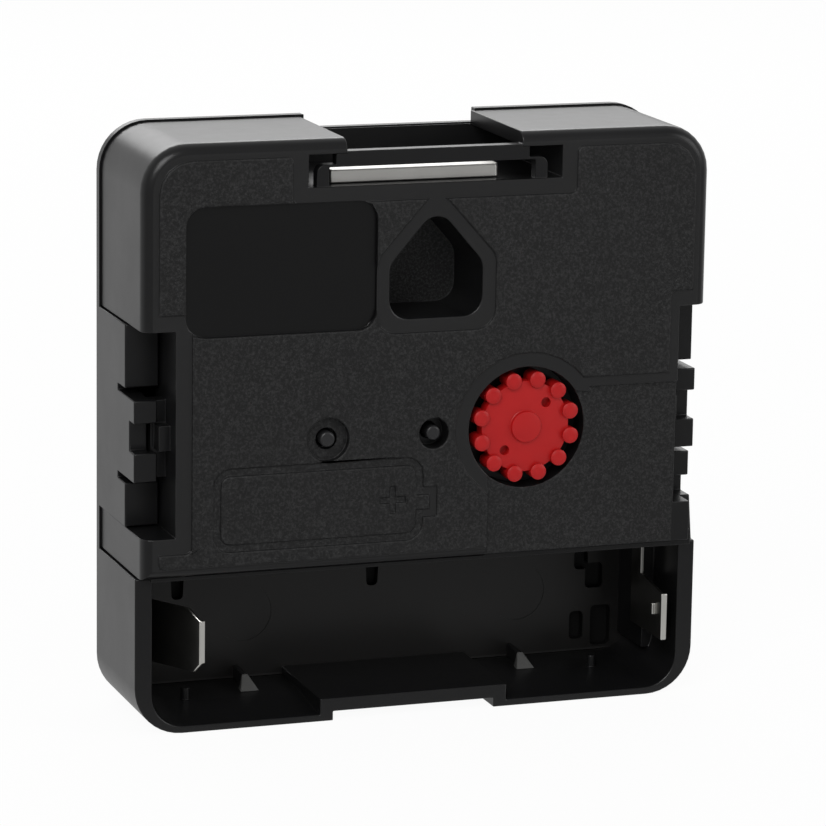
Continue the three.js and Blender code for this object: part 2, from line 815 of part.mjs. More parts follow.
// A latch pocket: the block that walls it, what is taken out, and the catch in it.
function pocketBlock({ dir, pocketX, footZ }) {
  return block(
    [dir * (pocketX - pocketWall), dir * (coverHalfWidth - coverSkirt / 2)],
    [panelRise + coverEdgeRadius, pocketDepth], [footZ - pocketWall, pocketTopZ + pocketWall]);
}

function pocketCut({ dir, pocketX, footZ }) {
  return block(
    [dir * pocketX, dir * (halfWidth + overrun)], [-overrun, caseDepth], [footZ, pocketTopZ]);
}

function pocketCatch({ dir, pocketX, tabEdge }) {
  const root = dir * (pocketX - pocketWall / 2);
  const catchY = tabEdge + barbDepth + catchGap;
  const ledge = block([root, dir * (halfWidth - tabThickness - catchGap)],
    [catchY, catchY + catchDepth], [tabBottomZ + catchGap, tabTopZ - catchGap]);
  const rib = block([root, dir * (halfWidth - tabThickness - barbLength - fit)],
    [catchRibY, catchY + catchDepth / 2], [tabNotchBottomZ + catchGap, tabNotchTopZ - catchGap]);
  return ledge.add(rib);
}

// The top notch: the block that walls it, and the opening, narrower through the top wall.
function notchBlock() {
  return block(
    [notchLeft - notchWall, notchRight + notchWall],
    [panelRise + coverEdgeRadius, frontInnerY - seam],
    [notchFloorZ - notchWall, coverTopZ - coverSkirt / 2],
  );
}

function notchCut() {
  const shoulder = coverTopZ - topWallThickness;
  const outline = [
    [notchLeft, notchFloorZ],
    [notchRight, notchFloorZ],
    [notchRight, shoulder],
    [topWallRightEnd, shoulder],
    [topWallRightEnd, caseHeight + overrun],
    [topWallLeftEnd, caseHeight + overrun],
    [topWallLeftEnd, shoulder],
    [notchLeft, shoulder],
  ];
  return slab(outline, [-overrun, caseDepth]);
}

// Cross bar over the notch's rear edge, with its two feet.
function hookBar() {
  const outline = [
    [-footLeft, notchFloorZ - fit],
    [-footInner, notchFloorZ - fit],
    [-footInner, barBottomZ],
    [footInner, barBottomZ],
    [footInner, notchFloorZ - fit],
    [footLeft, notchFloorZ - fit],
    [footLeft, footTopZ, footRadius],
    [barRight, footTopZ],
    [barRight, barTopZ],
    [barLeft, barTopZ],
    [barLeft, footTopZ],
    [-footLeft, footTopZ, footRadius],
  ];
  return slab(outline, [panelRise + fit, panelRise + fit + barThickness]);
}

// Edge line of the raised panel round the knob, from the lower left over the top to the right.
function panelRing(fromAngle, toAngle, ringSteps = 14) {
  const corners = [];
  for (let i = 0; i <= ringSteps; i += 1) {
    const angle = radians(THREE.MathUtils.lerp(fromAngle, toAngle, i / ringSteps));
    corners.push([knob[0] + ringRadius * Math.cos(angle), knob[1] + ringRadius * Math.sin(angle)]);
  }
  return corners;
}

function raisedPanel() {
  const left = -coverHalfWidth + panelBorder;
  const right = coverHalfWidth - panelBorder;
  const top = coverTopZ - panelBorder;
  const [leftLatch, rightLatch] = latchSides;
  const latchLeft = panelBorder - leftLatch.pocketX;
  const latchRight = rightLatch.pocketX - lowPanelRim;
  const above = pocketTopZ + panelBorder;
  const ridge = lowPanelTopZ + lowPanelRim;
  const small = panelCornerRadius;
  const ringEnd = Math.asin((ridge - knob[1]) / ringRadius);
  const outline = [
    [left, coverBottomZ + bottomBorder, small],
    [lowPanelX, coverBottomZ + bottomBorder],
    [lowPanelX, knob[1] - ringRadius + lowPanelRim],
    ...panelRing(214, THREE.MathUtils.radToDeg(ringEnd)),
    [latchRight, ridge],
    [latchRight, above, small],
    [right, above],
    [right, top, cornerRadius - panelBorder],
    [notchRight + panelBorder, top, small],
    [notchRight + panelBorder, notchFloorZ - panelBorder, small],
    [notchLeft - panelBorder, notchFloorZ - panelBorder, small],
    [notchLeft - panelBorder, top, small],
    [left, top, cornerRadius - panelBorder],
    [left, above],
    [latchLeft, above],
    [latchLeft, leftLatch.footZ - panelBorder, small],
    [left, leftLatch.footZ - panelBorder],
  ];
  return slab(outline, [0, panelRise + fit], 4);
}

// The line round the battery picture, and the plus sign in it.
function markOutline(inset) {
  const right = markRight - inset;
  const nub = markRight + markNubWidth - inset;
  return [
    [markLeft + inset, markBottom + inset, markRadius - inset],
    [right, markBottom + inset, markRadius - inset],
    [right, markNubBottom + inset],
    [nub, markNubBottom + inset],
    [nub, markNubTop - inset],
    [right, markNubTop - inset],
    [right, markTop - inset, markRadius - inset],
    [markLeft + inset, markTop - inset, markRadius - inset],
  ];
}

function panelMarks() {
  const depth = [-overrun, panelRise];
  const line = cut(
    slab(markOutline(0), depth, 4),
    slab(markOutline(markLine), [-2 * overrun, panelRise + overrun], 4),
  );
  const plus = [
    block([plusX - plusArm, plusX + plusArm], depth, [plusZ - plusLine / 2, plusZ + plusLine / 2]),
    block([plusX - plusLine / 2, plusX + plusLine / 2], depth, [plusZ - plusArm, plusZ + plusArm]),
  ];
  return [line, ...plus];
}

function coverBosses() {
  const rear = coverThickness - fit;
  const small = [middle, rotor].map((at) =>
    rod(at, coverBossRadius, [rear, coverThickness + coverBossDepth], 20));
  const well = rod(knob, wellRadius + wellWall, [rear, wellDepth + wellFloor], 32);
  const handBoss = rod(hand, handSinkRadius + lowPanelRim, [rear, handPivotLength + handSinkDepth], 24);
  const thirdBoss = rod(third, thirdSinkRadius, [rear, coverThickness + coverBossDepth], 24);
  const hanging = slab(hangOutline(hangWall), [panelRise + coverEdgeRadius, hangDepth + hangWall], 3);
  return [...small, well, handBoss, thirdBoss, hanging];
}

function coverCuts() {
  const through = [-overrun, caseDepth];
  const right = latchSides[1];
  const lowPanel = cut(
    block([lowPanelX, caseWidth], [-overrun, lowStep], [-overrun, lowPanelTopZ]),
    slab(
      [[lowPanelX - overrun, knob[1] - ringRadius + lowPanelRim], ...panelRing(214, 25),
        [lowPanelX - overrun, lowPanelTopZ + overrun]],
      [-2 * overrun, caseDepth], 4),
  );
  const lowBottom = block(
    [lowPanelX, caseWidth], through, [coverBottomZ - overrun, coverBottomZ + lowPanelBottomRise]);
  const corner = block([cornerEndX, caseWidth], through, [coverBottomZ - overrun, right.footZ]);
  const label = slab(
    rectangle(labelLeft, labelRight, labelBottom, labelTop, labelRadius),
    [-overrun, panelRise + labelDepth]);
  const blind = [middle, rotor].map((at) =>
    rod(at, pivotRadius + runningGap,
      [coverThickness - blindPivotDepth, coverThickness + coverBossDepth + overrun], 16));
  return [
    lowPanel, lowBottom, corner, label, ...blind,
    slab(hangOutline(0), [-overrun, hangDepth], 6),
    rod(knob, wellRadius, [-overrun, wellDepth], 40),
    rod(knob, knobShaftRadius + runningGap, through, 20),
    rod(hand, handSinkRadius, [-overrun, handSinkDepth], 28),
    rod(hand, handPivotRadius + runningGap, through, 20),
    rod(third, thirdSinkRadius, [-overrun, thirdSinkDepth], 28),
    rod(third, thirdRingRadius, [-overrun, thirdRingDepth], 24),
    rod(third, thirdArborRadius + runningGap, through, 20),
  ];
}

function rearCover() {
  const shell = cut(
    join(cut(coverCap(), coverCavity()), notchBlock(), ...latchSides.map(pocketBlock)),
    notchCut(), ...latchSides.map(pocketCut));
  const panel = cut(
    raisedPanel(), ...panelMarks(), slab(hangOutline(hangBorder), [-overrun, panelRise + overrun], 6));
  const solidCover = join(shell, panel, ...coverBosses(), hookBar(), ...latchSides.map(pocketCatch));
  return cut(solidCover, ...coverCuts());
}

// Thin bright strip lying on the floor of the top notch
function hangerStrip() {
  const geometry = new THREE.ExtrudeGeometry(
    new THREE.Shape(rounded([
      [stripLeft, stripRearY],
      [stripRight, stripRearY, stripRadius],
      [stripRight, stripRearY + stripWidth, stripRadius],
      [stripLeft, stripRearY + stripWidth],
    ])),
    { depth: stripThickness, bevelEnabled: false },
  );
  return solid(geometry.translate(0, 0, notchFloorZ + fit));
}

// Setting knob: disc with a ring of pins, on the reverse wheel's shaft
function settingKnob() {
  const disc = rod(centre, knobDiscRadius, knobDiscY, 36);
  const hub = rod(centre, knobHubRadius, [knobHubY, knobDiscY[1]], 24);
  const pins = Array.from({ length: knobPins }, (_, i) => {
    const angle = radians(knobPhase) + (2 * Math.PI * i) / knobPins;
    const at = [knobPinCircle * Math.cos(angle), knobPinCircle * Math.sin(angle)];
    return rod(at, knobPinRadius, knobPinY, 12);
  });
  const holes = knobHoleAngles.map((degrees) => {
    const angle = radians(degrees);
    const at = [knobHoleCircle * Math.cos(angle), knobHoleCircle * Math.sin(angle)];
    return rod(at, knobHoleRadius, [knobDiscY[0] - overrun, knobDiscY[0] + knobHoleDepth], 10);
  });
  const shaft = rod(centre, knobShaftRadius, [knobDiscY[1] - fit, layers.minutePinion[1]], 20);
  const pivotEnd = frontInnerY + frontPivotDepth - runningGap;
  const pivot = rod(centre, knobPivotRadius, [layers.minutePinion[1] - fit, pivotEnd], 16);
  return cut(join(disc, hub, ...pins, shaft, pivot), ...holes);
}

function reverseWheel() {
  const phase = meshing(hand, knob, motionSteps.reverse);
  const wheel = gear(motionSteps.reverse, motionModule, layers.reverseWheel, "wheel", phase);
  const pinion = gear(motionSteps.minutePinion, hourModule,
    [layers.reverseWheel[1] - fit, layers.minutePinion[1]], "pinion", facing(knob, hand));
  const bore = rod(centre, knobShaftRadius + fit, [0, caseDepth], 20);
  return cut(join(wheel, pinion), bore);
}

// Hand shafts, one inside the other
function hourWheel() {
  const phase = meshing(knob, hand, motionSteps.hour);
  const wheel = gear(motionSteps.hour, hourModule, layers.hourWheel, "wheel", phase);
  const hub = rod(centre, hourHubRadius, [layers.hourWheel[1] - fit, layers.hourHub[1]], 32);
  const tube = rod(centre, hourTubeRadius, [layers.hourWheel[1], caseDepth + hourTubeReach], 32);
  const bore = rod(centre, hourTubeBore, [0, totalDepth], 32);
  return cut(join(wheel, hub, tube), bore);
}

function minuteTube() {
  const pinion = gear(motionSteps.cannon, motionModule, layers.cannon, "pinion", facing(hand, knob));
  const end = caseDepth + minuteTubeReach;
  const tube = rod(centre, minuteTubeRadius, [layers.cannon[0], end], 28);
  const spigotEnd = layers.centreWheel[0] - runningGap;
  const spigot = rod(centre, minuteSpigotRadius, [spigotEnd, layers.cannon[0] + fit], 24);
  const bore = rod(centre, minuteTubeBore, [0, totalDepth], 20);
  const flats = [-1, 1].map((dir) =>
    block([dir * minuteFlat, dir * 2 * minuteTubeRadius], [end - minuteFlatLength, end + overrun],
      [-minuteTubeRadius - overrun, minuteTubeRadius + overrun]));
  return cut(join(pinion, tube, spigot), bore, ...flats);
}

function centreWheel() {
  const phase = meshing(third, hand, slowSteps.centre);
  const wheel = gear(slowSteps.centre, thirdPinionModule, layers.centreWheel, "wheel", phase);
  const bore = rod(centre, minuteSpigotRadius + runningGap, [0, caseDepth], 24);
  return cut(wheel, bore);
}

function secondsArbor() {
  const arbor = rod(centre, thinArborRadius, [layers.secondsWheel[0], totalDepth], 16);
  const pinion = gear(toothSteps.secondsPinion, secondsPinionModule, layers.secondsPinion, "pinion",
    facing(hand, third));
  return join(arbor, pinion);
}

function secondsWheel() {
  const [rear, front] = layers.secondsWheel;
  const phase = meshing(middle, hand, toothSteps.seconds);
  const wheel = gear(toothSteps.seconds, middleModule, [rear, front], "wheel", phase);
  const hub = rod(centre, wheelHubRadius, [rear - wheelHubLength, rear + fit], 20);
  const pivot = rod(centre, handPivotRadius, [pivotFaceY, rear], 20);
  return cut(join(wheel, hub, pivot), rod(centre, thinArborRadius + fit, [rear - fit, caseDepth], 16));
}

function thirdWheel() {
  const wheel = gear(slowSteps.third, secondsPinionModule, layers.thirdWheel, "wheel",
    meshing(hand, third, slowSteps.third));
  const pinion = gear(slowSteps.thirdPinion, thirdPinionModule,
    [layers.thirdWheel[1] - fit, layers.thirdPinion[1]], "pinion", facing(third, hand));
  const arbor = rod(centre, thirdArborRadius, [pivotFaceY, layers.thirdPinion[0]], 20);
  const front = rod(centre, thirdFrontRadius, [layers.thirdPinion[1] - fit, frontInnerY - runningGap], 16);
  return join(wheel, pinion, arbor, front);
}

function intermediateWheel() {
  const wheel = gear(toothSteps.middle, fineModule, layers.middleWheel, "wheel",
    meshing(rotor, middle, toothSteps.middle));
  const pinion = gear(toothSteps.middlePinion, middleModule,
    [layers.middleWheel[1] - fit, layers.middlePinion[1]], "pinion", facing(middle, hand));
  const pivotEnds = [coverThickness - blindPivotDepth + runningGap, layers.plate[1]];
  return join(wheel, pinion, rod(centre, pivotRadius, pivotEnds, 12));
}

// Stepping motor
function rotorPinion() {
  const pinion = gear(toothSteps.rotor, fineModule, layers.rotorPinion, "pinion", facing(rotor, middle));
  const seat = rod(centre, magnetSeatRadius, [layers.rotorPinion[1] - fit, layers.magnet[1] + fit], 16);
  const pivotEnds = [coverThickness - blindPivotDepth + runningGap, layers.plate[1]];
  return join(pinion, seat, rod(centre, pivotRadius, pivotEnds, 12));
}

function rotorMagnet() {
  const bore = rod(centre, magnetSeatRadius + fit, [0, caseDepth], 16);
  return cut(rod(centre, magnetRadius, layers.magnet, 32), bore);
}

function stator() {
  const [x, z] = rotor;
  const ring = cut(rod(rotor, statorRing, layers.stator, 32), rod(rotor, statorBore, [0, caseDepth], 32));
  const half = statorLegWidth / 2;
  const middleRadius = (statorBore + statorRing) / 2;
  const onRing = (degrees) => [
    x + middleRadius * Math.cos(radians(degrees)),
    z + middleRadius * Math.sin(radians(degrees)),
  ];
  const legFootZ = z + Math.sqrt(middleRadius ** 2 - half ** 2);
  const lowLeg = [
    [coilX - half, coreFootZ - half, half / 2],
    [coilX + half, coreFootZ - half],
    onRing(250),
    onRing(200),
    [coilX + flangeRadius + coilMargin, coreFootZ + half],
    [coilX - half, coreFootZ + half, half / 2],
  ];
  const highLeg = [
    [x - half, legFootZ],
    [x + half, legFootZ],
    [x + half, coreHeadZ + half, half / 2],
    [coilX - half, coreHeadZ + half, half / 2],
    [coilX - half, coreHeadZ - half, half / 2],
    [x - half, coreHeadZ - half],
  ];
  const holes = [coreFootZ, coreHeadZ].map((holeZ) =>
    rod([coilX, holeZ], postPinRadius + fit, [0, caseDepth], 12));
  return cut(join(ring, slab(lowLeg, layers.stator), slab(highLeg, layers.stator)), ...holes);
}

function coilCore() {
  const bar = block([coilX - coreWidth / 2, coilX + coreWidth / 2],
    [coilY - coreThickness / 2, coilY + coreThickness / 2],
    [coreFootZ - coreOverhang, coreHeadZ + coreOverhang]);
  const holes = [coreFootZ, coreHeadZ].map((z) =>
    rod([coilX, z], postPinRadius + fit, [0, caseDepth], 12));
  return cut(bar, ...holes);
}

function uprightRod(radius, [z0, z1], sides) {
  const geometry = new THREE.CylinderGeometry(radius, radius, z1 - z0, sides);
  return solid(geometry.rotateX(Math.PI / 2).translate(coilX, coilY, (z0 + z1) / 2));
}

function coilBobbin() {
  const tube = uprightRod(bobbinTubeRadius, [coilBottomZ, coilTopZ], 24);
  const flanges = [
    uprightRod(flangeRadius, [coilBottomZ, coilBottomZ + flangeThickness], 28),
    uprightRod(flangeRadius, [coilTopZ - flangeThickness, coilTopZ], 28),
  ];
  const bore = block(
    [coilX - coreWidth / 2 - fit, coilX + coreWidth / 2 + fit],
    [coilY - coreThickness / 2 - fit, coilY + coreThickness / 2 + fit],
    [coilBottomZ - overrun, coilTopZ + overrun],
  );
  return cut(join(tube, ...flanges), bore);
}

function coilWinding() {
  const ends = [coilBottomZ + flangeThickness + windingGap, coilTopZ - flangeThickness - windingGap];
  return cut(
    uprightRod(windingRadius, ends, 28),
    uprightRod(bobbinTubeRadius + windingGap, [ends[0] - overrun, ends[1] + overrun], 24),
  );
}

function trainPlate() {
  const ear = platePosts[3];
  const outline = [
    [plateLeft, plateBottomZ + 4 * postRadius, postRadius],
    [rotor[0] + postRadius, plateBottomZ, postRadius],
    [plateRight, plateBottomZ, postRadius],
    [plateRight, plateTopZ, postRadius],
    [ear[0] + 2 * postRadius, plateTopZ, postRadius],
    [ear[0] + 1.5 * postRadius, plateEarZ, postRadius],
    [plateLeft, plateEarZ, postRadius],
  ];
  const holes = [
    [hand, thinArborRadius], [third, thirdArborRadius], [knob, knobShaftRadius],
    [middle, pivotRadius], [rotor, pivotRadius],
  ].map(([at, radius]) => rod(at, radius + runningGap, [0, caseDepth], 16));
  const pinHoles = platePosts.map((at) => rod(at, postPinRadius + fit, [0, caseDepth], 12));
  return cut(slab(outline, layers.plate, 4), ...holes, ...pinHoles);
}

// Circuit board with its sealed chip and watch crystal
function circuitBoard() {
  const outline = rectangle(boardLeft, boardRight, boardBottomZ, boardTopZ, postRadius);
  const holes = boardPosts.map((at) => rod(at, postPinRadius + fit, [0, caseDepth], 12));
  return cut(slab(outline, layers.board, 4), ...holes);
}

function chipBlob() {
  const steps = 5;
  const profile = Array.from({ length: steps + 1 }, (_, i) => {
    const angle = (Math.PI / 2) * (i / steps);
    return [chipRadius * Math.sin(angle), layers.board[0] - fit - chipHeight * Math.cos(angle)];
  });
  return turned([...profile, [0, layers.board[0] - fit]], 24);
}

function quartzCrystal() {
  const x = boardLeft + crystalX;
  const y = layers.board[0] - fit - crystalRadius;
  const z = boardBottomZ + crystalZ;
  const can = new THREE.CylinderGeometry(crystalRadius, crystalRadius, crystalLength, 20);
  const body = solid(can.rotateZ(Math.PI / 2).translate(x + crystalLength / 2, y, z));
  const end = x + crystalLength;
  const leads = [z - crystalLeadSpread, z + crystalLeadSpread].map((leadZ) =>
    block([end - fit, end + crystalRadius], [y - crystalLeadRadius, layers.board[0] - fit],
      [leadZ - crystalLeadRadius, leadZ + crystalLeadRadius]));
  return join(body, ...leads);
}

// Sprung leaf of the negative contact, about its bend at the bay's wall
function negativeContact() {
  const leaf = sidePlate(
    [
      [0, leafBottomZ],
      [0, leafTopZ],
      [leafChamfer - leafLength, leafTopZ],
      [-leafLength, leafTipTopZ],
      [-leafLength, leafTipBottomZ],
      [leafChamfer / 2 - leafLength, leafBottomZ],
    ].reverse(),
    [-sheet / 2, sheet / 2],
  );
  const lip = block([-sheet / 2, leafLip - sheet / 2], [-leafLength, sheet - leafLength],
    [leafTipBottomZ, leafTipTopZ]);
  return join(leaf, lip);
}

// Strip from the leaf over the bay's ceiling to the circuit board
function negativeLead() {
  const rear = leafHingeY + slotGap;
  const width = [rear, rear + stripRun];
  const runZ = ceilingTopZ + fit;
  const foot = block([leafHingeX, leafHingeX + sheet], width, [leafBottomZ, runZ + sheet]);
  const run = block([leafHingeX, leadRightX], width, [runZ, runZ + sheet]);
  const riser = block([leadRightX - sheet, leadRightX], width, [runZ, leadTopZ]);
  const pad = block([leadRightX - sheet, leadRightX],
    [layers.board[1] + runningGap, rear + fit], [boardBottomZ, leadTopZ]);
  return join(foot, run, riser, pad);
}

function positiveContact() {
  const strip = sidePlate(
    [
      [bayEdgeDepth, plusPlateBottomZ],
      [plusTabY + stripRun, plusPlateBottomZ],
      [plusTabY + stripRun, leadTopZ],
      [plusTabY, leadTopZ],
      [plusTabY, plusTabZ],
      [bayEdgeDepth, plusPlateTopZ],
    ],
    [plusPlateX, plusPlateX + sheet],
  );
  const lip = block([plusPlateX, plusPlateX + plusLip], [bayEdgeDepth, bayEdgeDepth + sheet],
    [plusPlateBottomZ, plusPlateTopZ]);
  const ridge = block([plusPlateX - sheet, plusPlateX + fit],
    [plusRidgeY, plusRidgeY + plusRidgeWidth], [plusRidgeZ, plusRidgeZ + plusRidgeLength]);
  return join(strip, lip, ridge);
}

// Threaded bush through the dial wall; the thread is cut as rings
function threadedBush() {
  const flangeRear = frontInnerY + fit;
  const flangeFront = flangeRear + bushFlange;
  const end = caseDepth + bushReach;
  const profile = [[bushBore, flangeRear], [bushFlangeRadius, flangeRear], [bushFlangeRadius, flangeFront]];
  profile.push([bushRadius - fit, flangeFront], [bushRadius - fit, caseDepth]);
  for (let y = caseDepth + threadPitch / 2; y < end - threadPitch / 2; y += threadPitch)
    profile.push([bushRadius - threadDepth, y], [bushRadius, y + threadPitch / 2]);
  profile.push([bushRadius - threadDepth, end], [bushBore, end]);
  return turned(profile, 24);
}

// Finishes: colour, roughness, metalness
const finishes = {
  casePlastic: [0x1b1b1c, 0.42, 0],
  knobPlastic: [0xa52626, 0.4, 0],
  gearPlastic: [0xdedbd0, 0.5, 0],
  darkPlastic: [0x232324, 0.45, 0],
  bobbinPlastic: [0x2f5f8a, 0.5, 0],
  plated: [0xc9c9c6, 0.28, 1],
  brass: [0xc9a557, 0.3, 1],
  steel: [0x9a9c9e, 0.35, 1],
  magnet: [0x55565a, 0.45, 1],
  copper: [0xb5663a, 0.4, 1],
  board: [0x9a7a3c, 0.6, 0],
  resin: [0x0d0d0e, 0.3, 0],
};

function piece(name, finish, made) {
  const [color, roughness, metalness] = finishes[finish];
  const mesh = new THREE.Mesh(
    geometryOf(made), new THREE.MeshStandardMaterial({ color, roughness, metalness }));
  mesh.name = name;
  return mesh;
}

function onArbor([x, z], ...pieces) {
  const arbor = new THREE.Group();
  arbor.position.set(x, 0, z);
  arbor.add(...pieces);
  return arbor;
}

const leafMesh = piece("negative_contact", "plated", negativeContact());
leafMesh.position.set(leafHingeX + sheet / 2, leafHingeY, 0);
leafMesh.rotation.z = radians(leafAngle);

const chipMesh = piece("chip_blob", "resin", chipBlob());
chipMesh.position.set(boardLeft + chipX, 0, boardBottomZ + chipZ);

const inCase = new THREE.Group();
inCase.position.y = -totalDepth / 2;
inCase.add(
  piece("front_case", "casePlastic", frontCase()),
  piece("rear_cover", "casePlastic", rearCover()),
  piece("hanger_strip", "plated", hangerStrip()),
  piece("train_plate", "gearPlastic", trainPlate()),
  piece("stator", "steel", stator()),
  piece("coil_core", "steel", coilCore()),
  piece("coil_bobbin", "bobbinPlastic", coilBobbin()),
  piece("coil_winding", "copper", coilWinding()),
  piece("circuit_board", "board", circuitBoard()),
  chipMesh,
  piece("quartz_crystal", "plated", quartzCrystal()),
  leafMesh,
  piece("negative_lead", "plated", negativeLead()),
  piece("positive_contact", "plated", positiveContact()),
  onArbor(
    hand,
    piece("threaded_bush", "brass", threadedBush()),
    piece("seconds_arbor", "steel", secondsArbor()),
    piece("seconds_wheel", "darkPlastic", secondsWheel()),
    piece("centre_wheel", "gearPlastic", centreWheel()),
    piece("minute_tube", "brass", minuteTube()),
    piece("hour_wheel", "gearPlastic", hourWheel()),
  ),
  onArbor(third, piece("third_wheel", "darkPlastic", thirdWheel())),
  onArbor(middle, piece("intermediate_wheel", "gearPlastic", intermediateWheel())),
  onArbor(
    rotor,
    piece("rotor_pinion", "gearPlastic", rotorPinion()),
    piece("rotor_magnet", "magnet", rotorMagnet()),
  ),
  onArbor(
    knob,
    piece("setting_knob", "knobPlastic", settingKnob()),
    piece("reverse_wheel", "gearPlastic", reverseWheel()),
  ),
);

const movement = new THREE.Group();
movement.add(inCase);

export default movement;
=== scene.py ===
# Quartz clock movement seen from behind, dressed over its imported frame.
# Metres, +Z up. The rear cover faces -Y and the hand shafts point along +Y.
import json
import math

import bmesh
import bpy
from mathutils import Matrix, Vector


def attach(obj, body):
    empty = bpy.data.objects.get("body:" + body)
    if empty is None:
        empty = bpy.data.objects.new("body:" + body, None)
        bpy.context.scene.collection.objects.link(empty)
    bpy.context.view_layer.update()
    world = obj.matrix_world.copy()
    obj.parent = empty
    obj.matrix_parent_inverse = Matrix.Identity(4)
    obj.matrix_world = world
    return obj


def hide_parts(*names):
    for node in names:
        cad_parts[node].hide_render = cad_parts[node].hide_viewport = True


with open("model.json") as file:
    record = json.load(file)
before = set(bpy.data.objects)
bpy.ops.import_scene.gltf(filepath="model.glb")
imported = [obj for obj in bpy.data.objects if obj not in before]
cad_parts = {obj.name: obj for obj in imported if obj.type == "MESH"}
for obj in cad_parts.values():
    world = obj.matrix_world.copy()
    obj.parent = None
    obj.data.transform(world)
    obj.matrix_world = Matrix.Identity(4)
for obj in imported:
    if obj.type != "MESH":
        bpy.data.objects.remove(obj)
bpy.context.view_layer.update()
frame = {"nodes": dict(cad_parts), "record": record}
scene = bpy.context.scene
mm = 0.001
rearY = -14.75  # mm, depth of the cover's raised panels; sizes below count from here
close = 0.02  # mm, how near a corner stands to the place that it is looked for at
slack = 0.01  # mm, room at the ends of a range of places
handAxis = (0.4, 27.7)  # mm, X and Z
knobAxis = (9.75, 27.7)
coilAxis = (-20.0, 4.352)  # mm, X and depth


# Camera, fitted to the straight edges of the case
camera = {
    "focal": 4311.3,  # pixels
    "pictureWidth": 826,  # pixels
    "sensor": 36,  # mm
    "clip": (0.01, 20),  # metres
    "yaw": 19.587,
    "pitch": 12.307,
    "roll": 0.884,
    "offset": (1.613, -1.648, 402.565),  # mm, from the camera to the case's middle
    "aim": (0.0, -14.75, 28.0),
}


def buildCamera():
    yaw, pitch, roll = (math.radians(camera[k]) for k in ("yaw", "pitch", "roll"))
    ahead = Vector((
        math.sin(yaw) * math.cos(pitch), math.cos(yaw) * math.cos(pitch), -math.sin(pitch)))
    level = Vector((math.cos(yaw), -math.sin(yaw), 0))
    upright = level.cross(ahead)
    right = level * math.cos(roll) + upright * math.sin(roll)
    up = upright * math.cos(roll) - level * math.sin(roll)
    x, y, z = camera["offset"]
    place = Vector(camera["aim"]) - right * x - up * y - ahead * z
    lens = bpy.data.cameras.new("photoCamera")
    lens.sensor_width = camera["sensor"]
    lens.lens = camera["sensor"] * camera["focal"] / camera["pictureWidth"]
    lens.clip_start, lens.clip_end = camera["clip"]
    eye = bpy.data.objects.new("photoCamera", lens)
    turn = Matrix((right, up, -ahead)).transposed().to_4x4()
    eye.matrix_world = Matrix.Translation(place * mm) @ turn
    scene.collection.objects.link(eye)
    scene.camera = eye
    scene.view_settings.view_transform = "Standard"


# Shader nodes: a Wire is one socket, and its operators add Math nodes
class Wire:
    def __init__(self, tree, socket):
        self.tree = tree
        self.socket = socket

    def maths(self, operation, *values):
        node = self.tree.nodes.new("ShaderNodeMath")
        node.operation = operation
        for slot, value in zip(node.inputs, values):
            if isinstance(value, Wire):
                self.tree.links.new(value.socket, slot)
            else:
                slot.default_value = value
        return Wire(self.tree, node.outputs[0])

    def __add__(self, other):
        return self.maths("ADD", self, other)

    def __sub__(self, other):
        return self.maths("SUBTRACT", self, other)

    def __rsub__(self, other):
        return self.maths("SUBTRACT", other, self)

    def __mul__(self, other):
        return self.maths("MULTIPLY", self, other)

    def __gt__(self, other):
        return self.maths("GREATER_THAN", self, other)

    def __lt__(self, other):
        return self.maths("LESS_THAN", self, other)

    __radd__ = __add__
    __rmul__ = __mul__


class Finish:
    def __init__(self, name, **fixed):
        self.material = bpy.data.materials.new(name)
        self.material.use_nodes = True
        self.tree = self.material.node_tree
        self.tree.nodes.clear()
        self.out = self.tree.nodes.new("ShaderNodeOutputMaterial")
        self.shader = self.tree.nodes.new("ShaderNodeBsdfPrincipled")
        self.tree.links.new(self.shader.outputs[0], self.out.inputs[0])
        for key, value in fixed.items():
            self.shader.inputs[key.replace("_", " ")].default_value = value
        self.place = self.node("TexCoord", "Object")

    # Any node but Math: its type, the output wanted, its settings, then its sockets
    def node(self, kind, output=0, settings=None, inputs=None):
        made = self.tree.nodes.new("ShaderNode" + kind)
        for key, value in (settings or {}).items():
            if key == "stops":
                elements = made.color_ramp.elements
                while len(elements) < len(value):
                    elements.new(0.5)
                for element, (at, colour) in zip(elements, value):
                    element.position = at
                    element.color = colour
            else:
                setattr(made, key, value)
        for key, value in (inputs or {}).items():
            if isinstance(value, Wire):
                self.tree.links.new(value.socket, made.inputs[key])
            else:
                made.inputs[key].default_value = value
        return Wire(self.tree, made.outputs[output])

    def noise(self, size, detail=2.0, roughness=0.5, place=None):
        return self.node("TexNoise", "Fac", None, {
            "Vector": place or self.place,
            "Scale": 1 / (size * mm),
            "Detail": detail,
            "Roughness": roughness,
        })

    def spread(self, value, low, high):
        return self.node("MapRange", 0, None, {"Value": value, "To Min": low, "To Max": high})

    def mix(self, factor, first, second):
        return self.node("Mix", 2, {"data_type": "RGBA"}, {0: factor, 6: first, 7: second})

    def bump(self, height, depth):
        inputs = {"Height": height, "Distance": depth * mm, "Strength": 1.0}
        self.feed(Normal=self.node("Bump", 0, None, inputs))

    def feed(self, **links):
        for key, value in links.items():
            self.tree.links.new(value.socket, self.shader.inputs[key.replace("_", " ")])

    # X, depth and Z of the shaded point in millimetres, as the sizes here count them
    def sides(self):
        split = self.tree.nodes.new("ShaderNodeSeparateXYZ")
        self.tree.links.new(self.place.socket, split.inputs[0])
        x, y, z = (Wire(self.tree, split.outputs[i]) * (1 / mm) for i in range(3))
        return x, y - rearY, z


def between(value, low, high):
    return (value > low) * (value < high)


def blend(first, share, second):
    return first * share + second * (1 - share)


